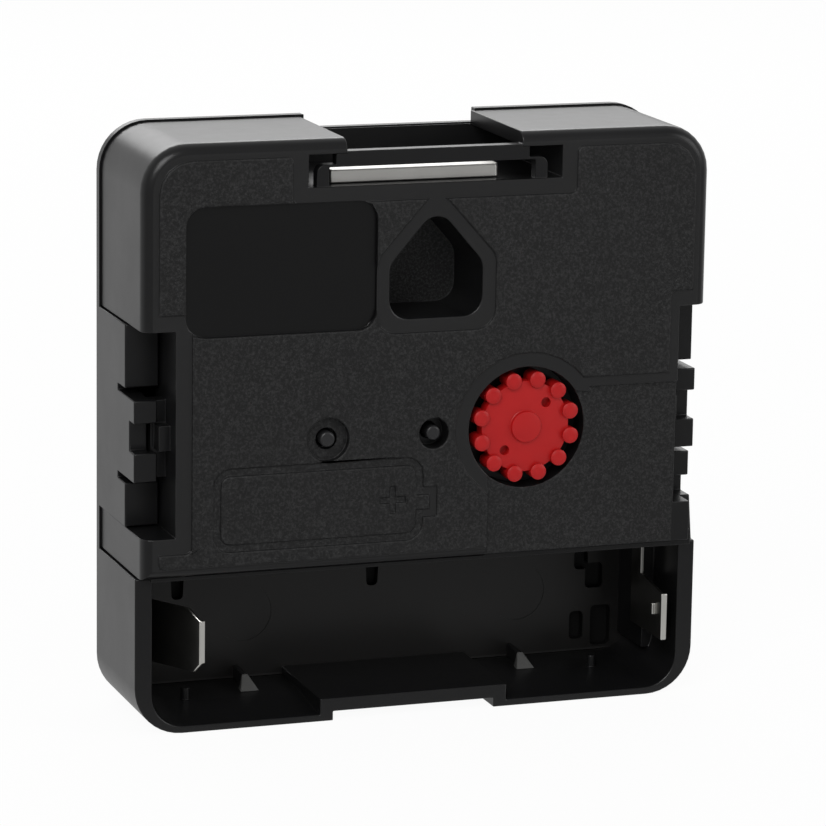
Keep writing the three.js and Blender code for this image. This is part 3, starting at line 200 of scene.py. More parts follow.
grain = {
    "size": 0.24,  # mm, width of one pit of the sparked texture
    "fineShare": 0.4,  # width of a fine pit as a share of that
    "flow": 9.0,  # mm, width of a patch of the moulding's flow
    "peel": 1.6,  # mm, and of a wave on its smooth faces
    "depth": 0.05,
    "coarseShare": 0.6,  # of coarse pits, the rest being fine ones
    "peelHeight": 0.02,  # of the waves and fine pits on smooth faces, as shares of the depth
    "fineHeight": 0.015,
    "fleckStops": (0.46, 0.7),  # heights between which a pit's colour goes from dark to pale
    "wear": (0.88, 1.12),  # factor on the colour from patch to patch of the flow
    "grainedRoughness": (0.55, 0.42),
    "satinRoughness": (0.25, 0.36),
    "peelRoughness": (-0.02, 0.02),
    "bayPitRoughness": 0.4,  # added in the pits of the bay's wall
    "dark": (0.006, 0.006, 0.0062, 1),
    "pale": (0.031, 0.031, 0.0315, 1),
    "plain": (0.0062, 0.0062, 0.0066, 1),
    "band": (0.013, 0.013, 0.0133, 1),
    # partly painted light: the hanging recess's floor is grained for real, and these paler tones stand in
    # for light its shaded floor lacks
    "recessLitDark": (0.014, 0.014, 0.0142, 1),
    "recessLitPale": (0.06, 0.06, 0.0605, 1),
    "label": (0.0018, 0.0018, 0.002, 1),
    "bayWall": (0.012, 0.0115, 0.0112, 1),
    # painted highlight: a paler line along the foot of the bay's wall
    "bayFootHighlight": (0.026, 0.0255, 0.025, 1),
    # painted shade: a near-black colour in the pits of the bay's wall
    "bayPitShade": (0.0015, 0.0015, 0.0015, 1),
    # painted highlight: a pale colour on the rear facets of the bay's ribs, standing in for a lamp's glint
    "ribHighlight": (0.085, 0.085, 0.083, 1),
}
# Faces of the black mouldings with a finish of their own: ranges of X, depth and Z in mm
zones = {
    "raised": ((-30, 30), (-1, 0.1), (0, 56)),
    "band": ((-30, 30), (0.15, 0.25), (0, 56)),
    "outline": ((-21.2, -0.5), (0.15, 0.25), (17.4, 25.7)),
    "lowPanel": ((5.9, 24.9), (0.4, 0.6), (15.3, 31.3)),
    "wheelSink": ((-12.2, -7.8), (0.6, 0.8), (25.5, 29.9)),
    "recessFloor": ((-4.3, 5.2), (7.9, 8.1), (38.5, 49.3)),
    "label": ((-24, -5.3), (0.4, 0.6), (37.7, 50.2)),
    "bayWall": ((-26.4, 26.4), (13.9, 14.25), (1, 15)),
    # painted highlight along the foot of the bay's wall
    "bayFootHighlight": ((-26.4, 26.4), (13.9, 14.25), (1, 1.6)),
    # painted shade in the pits of the bay's wall
    "bayPitShade": ((-26.4, 26.4), (14.3, 15.3), (0, 15)),
    # painted highlight on the rear facets of the two ribs
    "ribHighlight": ((-15.5, -13.5), (9.2, 10.65), (1.35, 2.75)),
    "otherRibHighlight": ((12.7, 14.7), (9.2, 10.65), (1.35, 2.75)),
}


# Black moulding: grained on the cover's panels, satin elsewhere, dull in the pits of the bay's wall.
# Painted light: shade in those pits, highlights on the ribs' rear facets and along the wall's foot,
# and a paler floor in the hanging recess that stands in for light
def blackMoulding():
    finish = Finish("blackMoulding", IOR=1.4, Roughness=0.4)
    spot = finish.sides()

    def zone(name):
        x, depth, z = (between(wire, *span) for wire, span in zip(spot, zones[name]))
        return x * depth * z

    covered = sum(zone(name) for name in ("raised", "lowPanel", "wheelSink", "outline", "recessFloor"))
    grained = finish.node("Clamp", 0, None, {"Value": covered})
    coarse = finish.noise(grain["size"], roughness=0.6)
    fine = finish.noise(grain["size"] * grain["fineShare"], roughness=0.6)
    flow = finish.noise(grain["flow"], detail=3.0)
    peel = finish.noise(grain["peel"])
    pits = blend(coarse, grain["coarseShare"], fine)
    stops = zip(grain["fleckStops"], ((0, 0, 0, 1), (1, 1, 1, 1)))
    flecks = finish.node("ValToRGB", 0, {"stops": list(stops)}, {"Fac": pits})
    colour = finish.mix(zone("band"), grain["plain"], grain["band"])
    colour = finish.mix(grained, colour, finish.mix(flecks, grain["dark"], grain["pale"]))
    # the recess floor's grain is real; its paler tones are painted light
    litRecessGrain = finish.mix(flecks, grain["recessLitDark"], grain["recessLitPale"])
    colour = finish.mix(zone("recessFloor"), colour, litRecessGrain)
    # the label and the bay's wall keep their own tones; the wall's foot gets a painted highlight and its
    # pits painted shade
    for name in ("label", "bayWall", "bayFootHighlight", "bayPitShade"):
        colour = finish.mix(zone(name), colour, grain[name])
    # painted highlight on the ribs' rear facets
    colour = finish.mix(zone("ribHighlight") + zone("otherRibHighlight"), colour, grain["ribHighlight"])
    worn = finish.spread(flow, *grain["wear"])
    grey = finish.node("CombineColor", 0, None, {"Red": worn, "Green": worn, "Blue": worn})
    times = {"data_type": "RGBA", "blend_type": "MULTIPLY"}
    tinted = finish.node("Mix", 2, times, {0: 1.0, 6: colour, 7: grey})
    satin = finish.spread(flow, *grain["satinRoughness"]) + finish.spread(peel, *grain["peelRoughness"])
    satin = satin + zone("bayPitShade") * grain["bayPitRoughness"]
    finish.feed(
        Base_Color=tinted,
        Roughness=grained * finish.spread(flecks, *grain["grainedRoughness"]) + (1 - grained) * satin,
    )
    smooth = peel * grain["peelHeight"] + fine * grain["fineHeight"]
    finish.bump(grained * pits + (1 - grained) * smooth, grain["depth"])
    return finish.material


# In the looks below, widths of patches and lines and depths of bumps are in mm
redLook = {
    "dark": (0.37, 0.004, 0.005, 1),
    "pale": (0.45, 0.007, 0.007, 1),
    "patch": 2.2,
    "fine": 0.22,
    "fineShare": 0.6,
    "roughness": (0.36, 0.48),
    "depth": 0.01,
}


def redMoulding():
    finish = Finish("redMoulding", IOR=1.38, Subsurface_Weight=0.06, Subsurface_Scale=0.0006)
    tone = finish.noise(redLook["patch"], detail=3.0, roughness=0.55)
    fine = finish.noise(redLook["fine"])
    finish.feed(
        Base_Color=finish.mix(tone, redLook["dark"], redLook["pale"]),
        Roughness=finish.spread(tone, *redLook["roughness"]),
    )
    finish.bump(blend(fine, redLook["fineShare"], tone), redLook["depth"])
    return finish.material


plainLook = {"patch": 3.0, "fine": 0.25, "fineShare": 0.5, "spread": (-0.05, 0.07), "depth": 0.01}


def plainMoulding(name, dark, pale, roughness):
    finish = Finish(name, IOR=1.47)
    tone = finish.noise(plainLook["patch"], detail=3.0)
    fine = finish.noise(plainLook["fine"], roughness=0.55)
    finish.feed(
        Base_Color=finish.mix(tone, dark, pale),
        Roughness=finish.spread(fine, *(roughness + part for part in plainLook["spread"])),
    )
    finish.bump(blend(fine, plainLook["fineShare"], tone), plainLook["depth"])
    return finish.material


rolledLook = {
    "lines": 0.12,
    "patch": 2.4,
    "stretch": 0.06,  # scale along the lines, where 1 leaves them round
    "rearward": -0.6,  # Y of the normal below which a face looks to the rear
    "patchShare": (0.7, 0.6),  # in the colour and in the roughness, the rest being lines
    "spread": (-0.05, 0.07),
}


# Drawn or rolled metal: fine lines along one axis, a few duller patches. A chosen factor darkens,
# as painted shade, the colour of the faces that don't look to the rear.
def rolledMetal(name, dark, pale, roughness, along, depth=0.0015, sideShade=1.0):
    finish = Finish(name, Metallic=1.0)
    stretch = [1.0, 1.0, 1.0]
    stretch[along] = rolledLook["stretch"]
    lines = finish.node("Mapping", 0, None, {"Vector": finish.place, "Scale": stretch})
    brushed = finish.noise(rolledLook["lines"], place=lines)
    patches = finish.noise(rolledLook["patch"], detail=3.0)
    facing = finish.node("SeparateXYZ", 1, None, {0: finish.node("TexCoord", "Normal")})
    inColour, inRoughness = rolledLook["patchShare"]
    clean = finish.mix(blend(patches, inColour, brushed), dark, pale)
    # painted shade: faces that don't look to the rear are darkened by the factor
    shadedSides = finish.mix(patches, *([part * sideShade for part in tone[:3]] + [1] for tone in (dark, pale)))
    finish.feed(
        Base_Color=finish.mix(facing < rolledLook["rearward"], shadedSides, clean),
        Roughness=finish.spread(
            blend(patches, inRoughness, brushed), *(roughness + part for part in rolledLook["spread"])),
    )
    finish.bump(brushed, depth)
    return finish.material


turnedLook = {"rings": 2600.0, "patch": 1.4, "ringShare": 0.5, "spread": (-0.08, 0.12), "depth": 0.003}


# Turned metal: rings of tool marks one after another along the depth axis
def turnedMetal(name, dark, pale, roughness):
    finish = Finish(name, Metallic=1.0)
    rings = finish.node("TexWave", "Fac", {"wave_type": "BANDS", "bands_direction": "Y"}, {
        "Vector": finish.place,
        "Scale": turnedLook["rings"],
        "Distortion": 1.2,
        "Detail": 2.0,
        "Detail Scale": 3.0,
    })
    patches = finish.noise(turnedLook["patch"], detail=3.0, roughness=0.55)
    finish.feed(
        Base_Color=finish.mix(patches, dark, pale),
        Roughness=finish.spread(
            blend(rings, turnedLook["ringShare"], patches),
            *(roughness + part for part in turnedLook["spread"])),
    )
    finish.bump(rings, turnedLook["depth"])
    return finish.material


boardLook = {
    "dark": (0.2, 0.105, 0.022, 1),
    "pale": (0.4, 0.24, 0.06, 1),
    "weave": 0.3,
    "stretch": 0.12,  # scale along the fibres
    "patch": 4.0,
    "weaveShare": 0.6,
    "roughness": (0.45, 0.68),
    "depth": 0.012,
}


def boardLaminate():
    finish = Finish("boardLaminate", IOR=1.5)
    stretch = (1.0, 1.0, boardLook["stretch"])
    fibres = finish.node("Mapping", 0, None, {"Vector": finish.place, "Scale": stretch})
    weave = finish.noise(boardLook["weave"], detail=3.0, roughness=0.6, place=fibres)
    tone = finish.noise(boardLook["patch"])
    finish.feed(
        Base_Color=finish.mix(
            blend(weave, boardLook["weaveShare"], tone), boardLook["dark"], boardLook["pale"]),
        Roughness=finish.spread(weave, *boardLook["roughness"]),
    )
    finish.bump(weave, boardLook["depth"])
    return finish.material


resinLook = {
    "dark": (0.004, 0.004, 0.004, 1),
    "pale": (0.012, 0.011, 0.01, 1),
    "waves": 1.2,
    "fine": 0.1,
    "waveShare": 0.6,
    "roughness": (0.22, 0.42),
    "depth": 0.05,
}


def pottedResin():
    finish = Finish("pottedResin", IOR=1.5, Coat_Weight=0.3, Coat_Roughness=0.2)
    waves = finish.noise(resinLook["waves"])
    fine = finish.noise(resinLook["fine"])
    finish.feed(
        Base_Color=finish.mix(waves, resinLook["dark"], resinLook["pale"]),
        Roughness=finish.spread(blend(waves, resinLook["waveShare"], fine), *resinLook["roughness"]),
    )
    finish.bump(waves, resinLook["depth"])
    return finish.material


buildCamera()
print("camera set")
finishes = {
    "black_plastic": blackMoulding(),
    "red_plastic": redMoulding(),
    "gear_plastic": plainMoulding(
        "naturalAcetal", (0.62, 0.6, 0.53, 1), (0.78, 0.76, 0.69, 1), roughness=0.42),
    "dark_plastic": plainMoulding(
        "darkAcetal", (0.011, 0.011, 0.012, 1), (0.02, 0.02, 0.021, 1), roughness=0.34),
    "bobbin_plastic": plainMoulding(
        "blueBobbin", (0.02, 0.09, 0.22, 1), (0.04, 0.14, 0.3, 1), roughness=0.42),
    "plated_steel": rolledMetal(
        "nickelStrip", (0.62, 0.61, 0.58, 1), (0.8, 0.79, 0.76, 1), roughness=0.3, along=2, depth=0.0008),
    "hanger": rolledMetal(
        "hangerSteel", (0.7, 0.69, 0.66, 1), (0.82, 0.81, 0.78, 1), roughness=0.42, along=0, depth=0.0005),
    # painted shade: the contacts' faces that don't look to the rear keep only this share of their colour
    "contact": rolledMetal(
        "contactSteel", (0.7, 0.69, 0.66, 1), (0.86, 0.85, 0.8, 1),
        roughness=0.3, along=2, depth=0.0006, sideShade=0.42),
    "steel": rolledMetal(
        "brightSteel", (0.42, 0.43, 0.44, 1), (0.6, 0.6, 0.6, 1), roughness=0.34, along=2),
    "bush_brass": turnedMetal(
        "turnedBrass", (0.56, 0.36, 0.1, 1), (0.74, 0.52, 0.18, 1), roughness=0.28),
    "magnet": rolledMetal(
        "magnetSkin", (0.16, 0.16, 0.17, 1), (0.3, 0.3, 0.31, 1), roughness=0.4, along=1),
    "copper_wire": plainMoulding(
        "enamelCopper", (0.36, 0.1, 0.03, 1), (0.58, 0.2, 0.06, 1), roughness=0.34),
    "board": boardLaminate(),
    "resin": pottedResin(),
}
slots = {part["node"]: part["material_slot"] for part in frame["record"]["subparts"]}
bodies = frame["record"]["behaviour"]["bodies"]
bodyOf = {node: body for body, members in bodies.items() for node in members}
for name, node in frame["nodes"].items():
    node.data.materials.clear()
    node.data.materials.append(finishes[slots[name]])
print("finishes made:", len(finishes))


# Pieces of the plated strip's slot that look different from the rest of it
ownFinish = {"hanger_strip": "hanger", "negative_contact": "contact", "positive_contact": "contact"}


# Mesh helpers
def addObject(name, mesh, material):
    piece = bpy.data.objects.new(name, mesh)
    scene.collection.objects.link(piece)
    mesh.materials.clear()
    mesh.materials.append(material)
    return piece


def seat(piece, body, slot, *nodes):
    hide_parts(*nodes)
    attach(piece, body)


sharpAngle = math.radians(35)
flatAngle = math.radians(0.4)
cadWeld = 0.001  # mm, corners nearer than this are one
turnedWeld = 0.0005


def softenEdges(piece, width, segments):
    piece.data.set_sharp_from_angle(angle=sharpAngle)
    bevel = piece.modifiers.new("edges", "BEVEL")
    bevel.width = width * mm
    bevel.segments = segments
    bevel.limit_method = "WEIGHT"
    bevel.use_clamp_overlap = False
    bevel.miter_outer = "MITER_ARC"
    shade = piece.modifiers.new("shading", "WEIGHTED_NORMAL")
    shade.keep_sharp = True


# The bay's shape where the scene refines it, in mm: its floor falls towards the rear edge,
# and the two ribs on it end in small skew points
bay = {
    "rear": 2.0,
    "floor": 1.3,
    "fillet": 3.2,
    "innerX": 26.35,
    "rampEnd": 8.0,
    "rampFall": 0.65,
    "sharpDepths": (13.9, 15.3),  # edges of the pits in its wall are left unrounded
    "ribs": (-14.49, 13.7),
    "ribHalf": 0.95,
    "ribRear": (9.3, 10.6),
    "ribTop": 2.7,
    "ribSkew": 0.9,  # how much deeper the left corner of a rib's rear foot stands
    "ribTips": (-0.45, 0.1),  # from its middle to the ends of its top's rear edge
    "ribRoot": 0.25,  # half its width at the wall
    "edgeRise": 0.1,  # edges lower than this over the flat floor are rounded at any depth
}


def nearly(value, wanted):
    return abs(value - wanted) < close


def within(values, span):
    return span[0] < min(values) and max(values) < span[1]


# Cuts the floor where its fall ends, so that only the part behind the cut is lowered
def cutFloor(work):
    across = (bay["innerX"] + slack) * mm
    low = bay["floor"] - slack
    high = bay["floor"] + bay["fillet"] + slack
    inside = [
        face for face in work.faces
        if all(abs(vert.co.x) < across and low < vert.co.z / mm < high for vert in face.verts)]
    around = inside + list({edge for face in inside for edge in face.edges})
    around += list({vert for face in inside for vert in face.verts})
    cut = Vector((0, bay["rampEnd"] + rearY, 0)) * mm
    bmesh.ops.bisect_plane(work, geom=around, plane_co=cut, plane_no=(0, 1, 0), dist=cadWeld * mm)


# Lowers the floor's rear edge and draws the ribs' corners in to their points
def refineBay(work):
    cutFloor(work)
    high = bay["floor"] + bay["fillet"] + slack
    flat = bay["innerX"] - bay["fillet"]
    for vert in work.verts:
        x, y, z = vert.co / mm
        y -= rearY
        if nearly(y, bay["rear"]) and abs(x) < bay["innerX"] + slack:
            if nearly(z, bay["floor"]) or (abs(x) > flat - slack and bay["floor"] < z < high):
                vert.co.z -= bay["rampFall"] * mm
        for middle in bay["ribs"]:
            side = x - middle
            inPlace = z < bay["ribTop"] + slack and y > bay["ribRear"][0] - slack
            if not (inPlace and nearly(abs(side), bay["ribHalf"])):
                continue
            if nearly(y, bay["ribRear"][0]) and side < 0:
                vert.co.y += bay["ribSkew"] * mm
            elif nearly(y, bay["ribRear"][1]):
                vert.co.x = (middle + bay["ribTips"][0 if side < 0 else 1]) * mm
            elif y > bay["sharpDepths"][0]:
                vert.co.x = (middle + math.copysign(bay["ribRoot"], side)) * mm


# Places on the rear cover, in mm, whose edges have a rule of their own
coverEdges = {
    "height": (38, 51),
    "rimAcross": (-4.3, 5.2),  # the hanging recess's rim, which has the wide rounding
    "rimDepth": 0.2,
    "sliverAcross": (-5.8, -5.1),  # a narrow face beside it, which has none
    "sliverDepth": 1,
}


# An edge's share of the wide rounding
def edgeShare(edge, node, narrowShare, depths):
    turn = edge.calc_face_angle_signed(0.0)
    across = [vert.co.x / mm for vert in edge.verts]
    ends = [vert.co.y / mm - rearY for vert in edge.verts]
    heights = [vert.co.z / mm for vert in edge.verts]
    flat = bay["innerX"] - bay["fillet"] + slack
    onFloor = within(across, (-flat, flat)) and max(heights) < bay["floor"] + bay["edgeRise"]
    sharpLow, sharpHigh = bay["sharpDepths"]
    if abs(turn) <= sharpAngle or not (onFloor or min(ends) < sharpLow or max(ends) > sharpHigh):
        return 0.0
    wideHere = within(ends, depths)
    if node == "rear_cover" and within(heights, coverEdges["height"]):
        if within(across, coverEdges["sliverAcross"]) and max(ends) < coverEdges["sliverDepth"]:
            return 0.0
        atRim = all(nearly(end, coverEdges["rimDepth"]) for end in ends)
        wideHere = wideHere or (atRim and within(across, coverEdges["rimAcross"]))
    return 1.0 if wideHere and turn > 0 else narrowShare


# A CAD node's copy with its loose triangles joined, its flat faces whole and its edges weighted.
# Edges that stand out between the two depths get the wide rounding, all others the narrow one.
def cleanCopy(node, name, narrow, wide, depths):
    mesh = frame["nodes"][node].data.copy()
    mesh.name = name
    work = bmesh.new()
    work.from_mesh(mesh)
    bmesh.ops.remove_doubles(work, verts=work.verts, dist=cadWeld * mm)
    bmesh.ops.dissolve_limit(work, angle_limit=flatAngle, verts=work.verts, edges=work.edges)
    if node == "front_case":
        refineBay(work)
    weights = work.edges.layers.float.new("bevel_weight_edge")
    for edge in work.edges:
        edge[weights] = edgeShare(edge, node, narrow / wide, depths)
    for face in work.faces:
        face.smooth = True
    work.to_mesh(mesh)
    work.free()
    if "custom_normal" in mesh.attributes:
        mesh.attributes.remove(mesh.attributes["custom_normal"])
    return addObject(name, mesh, finishes[ownFinish.get(node, slots[node])])


# Nodes kept in the CAD's shape, with rounded edges: the piece's name, its narrow and wide rounding in mm,
# the depths between which it is wide, and the steps in it
dressed = {
    "front_case": ("frontCase", 0.08, 0.12, (1.9, 5.6), 2),
    "rear_cover": ("rearCover", 0.07, 0.16, (-0.1, 0.1), 3),
    "seconds_wheel": ("secondsWheel", 0.03, 0.2, (0, 0.4), 3),
    "third_wheel": ("thirdWheel", 0.02, 0.22, (0, 0.4), 3),
    "negative_contact": ("negativeLeaf", 0.03, 0.1, (0, 4), 2),
    "positive_contact": ("positiveBlade", 0.03, 0.08, (0, 4), 2),
    "hanger_strip": ("hangerStrip", 0.12, 0.12, (0, 8), 3),
}
for node, (name, narrow, wide, depths, segments) in dressed.items():
    piece = cleanCopy(node, name, narrow, wide, depths)
    softenEdges(piece, wide, segments)
    seat(piece, bodyOf[node], slots[node], node)
print("mouldings, pivots and contacts dressed:", len(dressed))


# Turns a profile of (radius, depth) points about the depth axis at (x, z), as part of a bmesh
def revolve(work, profile, axis, steps, closed):
    rings = []
    for i in range(steps):
        angle = 2 * math.pi * i / steps
        across, up = math.cos(angle), math.sin(angle)
        rings.append([
            work.verts.new(Vector((axis[0] + radius * across, depth + rearY, axis[1] + radius * up)) * mm)
            for radius, depth in profile])
    spans = len(profile) if closed else len(profile) - 1
    for i in range(steps):
        for j in range(spans):
            k = (j + 1) % len(profile)
            work.faces.new((rings[i][j], rings[i][k], rings[i - 1][k], rings[i - 1][j]))
    bmesh.ops.remove_doubles(work, verts=work.verts, dist=turnedWeld * mm)
    bmesh.ops.recalc_face_normals(work, faces=work.faces)


def smoothMesh(work, name):
    for face in work.faces:
        face.smooth = True
    mesh = bpy.data.meshes.new(name)
    work.to_mesh(mesh)
    work.free()
    mesh.set_sharp_from_angle(angle=sharpAngle)
    return mesh


# Geometry Nodes: one tree with named sizes, grown into a plain mesh
class Recipe:
    def __init__(self, name):
        self.group = bpy.data.node_groups.new(name, "GeometryNodeTree")
        self.group.interface.new_socket("Geometry", in_out="OUTPUT", socket_type="NodeSocketGeometry")
        self.entry = self.group.nodes.new("NodeGroupInput")
        self.values = {}

    def size(self, label, value, kind="Float"):
        socket = self.group.interface.new_socket(label, in_out="INPUT", socket_type="NodeSocket" + kind)
        self.values[socket.identifier] = value
        return self.entry.outputs[label]

    def node(self, kind, settings=None, inputs=None):
        made = self.group.nodes.new(kind)
        for key, value in (settings or {}).items():
            setattr(made, key, value)
        for key, value in (inputs or {}).items():
            if isinstance(value, bpy.types.NodeSocket):
                self.group.links.new(value, made.inputs[key])
            else:
                made.inputs[key].default_value = value
        return made

    def maths(self, operation, first, second):
        return self.node("ShaderNodeMath", {"operation": operation}, {0: first, 1: second}).outputs[0]

    def grow(self, name, shape, material):
        whole = self.node("GeometryNodeRealizeInstances", None, {0: shape})
        coating = {"Geometry": whole.outputs[0], "Material": material}
        coated = self.node("GeometryNodeSetMaterial", None, coating)
        leave = self.group.nodes.new("NodeGroupOutput")
        self.group.links.new(coated.outputs[0], leave.inputs[0])
        holder = bpy.data.objects.new(name, bpy.data.meshes.new(name + "Start"))
        scene.collection.objects.link(holder)
        modifier = holder.modifiers.new("recipe", "NODES")
        modifier.node_group = self.group
        for key, value in self.values.items():
            modifier[key] = value
        ready = holder.evaluated_get(bpy.context.evaluated_depsgraph_get())
        mesh = bpy.data.meshes.new_from_object(ready)
        bpy.data.objects.remove(holder)
        return mesh


# One mesh out of a grown one and a turned one, the grown one put in place first
def joined(name, grown, place, work):
    grown.transform(place)
    work.from_mesh(grown)
    bpy.data.meshes.remove(grown)
    return smoothMesh(work, name)


quarterTurn = Matrix(((1, 0, 0), (0, 0, -1), (0, 1, 0))).to_4x4()  # about X, so that depth becomes height


def alongDepth(axis, depth):
    return Matrix.Translation(Vector((axis[0], depth + rearY, axis[1])) * mm) @ quarterTurn


# Setting knob: a disc and hub on a shaft, round pins with domed ends about its rim
knobPiece = {
    "profile": [
        (0, 0.25), (1.3, 0.25), (1.44, 0.3), (1.5, 0.42), (1.52, 0.6), (1.6, 0.66),
        (4.15, 0.66), (4.34, 0.72), (4.4, 0.86), (4.4, 2.02), (4.32, 2.1),
        (0.65, 2.1), (0.65, 13.3), (0.5, 13.3), (0.5, 14.7), (0, 14.7)],
    "steps": 96,
    "pins": 12,
    "pinRadius": 0.77,
    "pinCircle": 4.6,
    "pinDepths": (0.2, 2.3),
    "pinDome": 0.16,
    "pinSides": 24,
    "domeRings": 5,
    "domePower": 4.0,  # the dome falls by this power of the way to its edge
    "firstPin": 106.6,  # degrees
    "holeRadius": 0.48,
    "holeCircle": 3.0,
    "holeAngles": (47, 227),
    "holeFloor": 1.4,
    "holeSteps": 20,
    "drillStart": -1,
}


def pinRecipe(sizes):
    recipe = Recipe("knobPins")
    count = recipe.size("Pins", sizes["pins"], "Int")
    radius = recipe.size("Pin radius", sizes["pinRadius"] * mm)
    length = recipe.size("Pin length", (sizes["pinDepths"][1] - sizes["pinDepths"][0]) * mm)
    circle = recipe.size("Pin circle", sizes["pinCircle"] * mm)
    dome = recipe.size("Dome height", sizes["pinDome"] * mm)
    ring = recipe.node("GeometryNodeMeshCircle", None, {"Vertices": count, "Radius": circle})
    pin = recipe.node("GeometryNodeMeshCylinder", {"fill_type": "TRIANGLE_FAN"}, {
        "Vertices": sizes["pinSides"],
        "Side Segments": 1,
        "Fill Segments": sizes["domeRings"],
        "Radius": radius,
        "Depth": length,
    })
    spot = recipe.node("GeometryNodeInputPosition")
    parts = recipe.node("ShaderNodeSeparateXYZ", None, {0: spot.outputs[0]})
    flat = recipe.node("ShaderNodeCombineXYZ", None, {"X": parts.outputs[0], "Y": parts.outputs[1]})
    reach = recipe.node("ShaderNodeVectorMath", {"operation": "LENGTH"}, {0: flat.outputs[0]})
    share = recipe.maths("DIVIDE", reach.outputs["Value"], radius)
    drop = recipe.maths("MULTIPLY", recipe.maths("POWER", share, sizes["domePower"]), dome)
    rear = recipe.maths("GREATER_THAN", parts.outputs[2], 0.0)
    down = recipe.maths("SUBTRACT", 0.0, recipe.maths("MULTIPLY", drop, rear))
    offset = recipe.node("ShaderNodeCombineXYZ", None, {"Z": down})
    rounded = recipe.node("GeometryNodeSetPosition", None, {
        "Geometry": pin.outputs["Mesh"], "Offset": offset.outputs[0]})
    placed = recipe.node("GeometryNodeInstanceOnPoints", None, {
        "Points": ring.outputs[0], "Instance": rounded.outputs[0]})
    return recipe, placed.outputs[0]


def buildKnob(sizes):
    work = bmesh.new()
    revolve(work, sizes["profile"], knobAxis, sizes["steps"], closed=False)
    body = addObject("knobBody", smoothMesh(work, "knobBody"), finishes["red_plastic"])
    drill = bmesh.new()
    for degrees in sizes["holeAngles"]:
        angle = math.radians(degrees)
        reach = (math.cos(angle), math.sin(angle))
        at = [middle + sizes["holeCircle"] * part for middle, part in zip(knobAxis, reach)]
        radius, start, end = sizes["holeRadius"], sizes["drillStart"], sizes["holeFloor"]
        profile = [(0, start), (radius, start), (radius, end), (0, end)]
        revolve(drill, profile, at, sizes["holeSteps"], closed=False)
    tool = addObject("knobDrill", smoothMesh(drill, "knobDrill"), finishes["red_plastic"])
    holes = body.modifiers.new("holes", "BOOLEAN")
    holes.object = tool
    drilled = bpy.data.meshes.new_from_object(body.evaluated_get(bpy.context.evaluated_depsgraph_get()))
    for spare in (body, tool):
        bpy.data.objects.remove(spare)
    recipe, shape = pinRecipe(sizes)
    grown = recipe.grow("knobPins", shape, finishes["red_plastic"])
    low, high = sizes["pinDepths"]
    turn = Matrix.Rotation(math.radians(sizes["firstPin"]), 4, "Z")
    work = bmesh.new()
    work.from_mesh(drilled)
    mesh = joined("settingKnob", grown, alongDepth(knobAxis, (low + high) / 2) @ turn, work)
    knob = addObject("settingKnob", mesh, finishes["red_plastic"])
    seat(knob, "setting", "red_plastic", "setting_knob")


buildKnob(knobPiece)
print("setting knob built")

# Threaded bush: a turned body with one helical thread
bushPiece = {
    "profile": [
        (2.65, 14.15), (5.2, 14.15), (5.2, 14.75), (3.95, 14.75), (3.95, 15.5), (3.62, 15.7),
        (3.62, 20.8), (3.5, 21), (2.65, 21)],
    "threadRadius": 4.0,
    "threadTooth": 0.433,
    "pitch": 0.75,
    "threadDepths": (15.95, 20.55),
    "threadCorners": 3,
    "stepsPerTurn": 36,
    "steps": 64,
}


def spiralRecipe(name, turns, radius, height, thickness, corners, stepsPerTurn):
    recipe = Recipe(name)
    radius = recipe.size("Radius", radius * mm)
    path = recipe.node("GeometryNodeCurveSpiral", None, {
        "Resolution": stepsPerTurn,
        "Rotations": recipe.size("Turns", turns),
        "Start Radius": radius,
        "End Radius": radius,
        "Height": recipe.size("Height", height * mm),
    })
    upright = recipe.node("GeometryNodeSetCurveNormal", {"mode": "Z_UP"}, {"Curve": path.outputs[0]})
    section = recipe.node("GeometryNodeCurvePrimitiveCircle", None, {
        "Resolution": recipe.size("Corners", corners, "Int"),
        "Radius": recipe.size("Thickness", thickness * mm),
    })
    # A corner points away from the axis, so that three corners make a thread
    halfTurn = (0, 0, math.pi)
    turned = recipe.node("GeometryNodeTransform", None, {0: section.outputs[0], "Rotation": halfTurn})
    body = recipe.node("GeometryNodeCurveToMesh", None, {
        "Curve": upright.outputs[0], "Profile Curve": turned.outputs[0], "Fill Caps": True})
    return recipe, body.outputs[0]


def buildBush(sizes):
    start, end = sizes["threadDepths"]
    recipe, shape = spiralRecipe(
        "bushThread",
        turns=(end - start) / sizes["pitch"],
        radius=sizes["threadRadius"] - sizes["threadTooth"],
        height=end - start,
        thickness=sizes["threadTooth"],
        corners=sizes["threadCorners"],
        stepsPerTurn=sizes["stepsPerTurn"])
    grown = recipe.grow("bushThread", shape, finishes["bush_brass"])
    work = bmesh.new()
    revolve(work, sizes["profile"], handAxis, sizes["steps"], closed=True)
    mesh = joined("threadedBush", grown, alongDepth(handAxis, end), work)
    seat(addObject("threadedBush", mesh, finishes["bush_brass"]), "case", "bush_brass", "threaded_bush")


buildBush(bushPiece)
print("bush threaded")

# Coil: wire wound on a thin sleeve
coilPiece = {
    "bottom": 21.9,
    "top": 44.9,
    "radius": 2.42,
    "wire": 0.11,  # half the wire's width
    "wireCorners": 6,
    "stepsPerTurn": 20,
    "sleeve": (2.3, 1.92),  # outer and inner radius
    "sleeveSteps": 32,
}


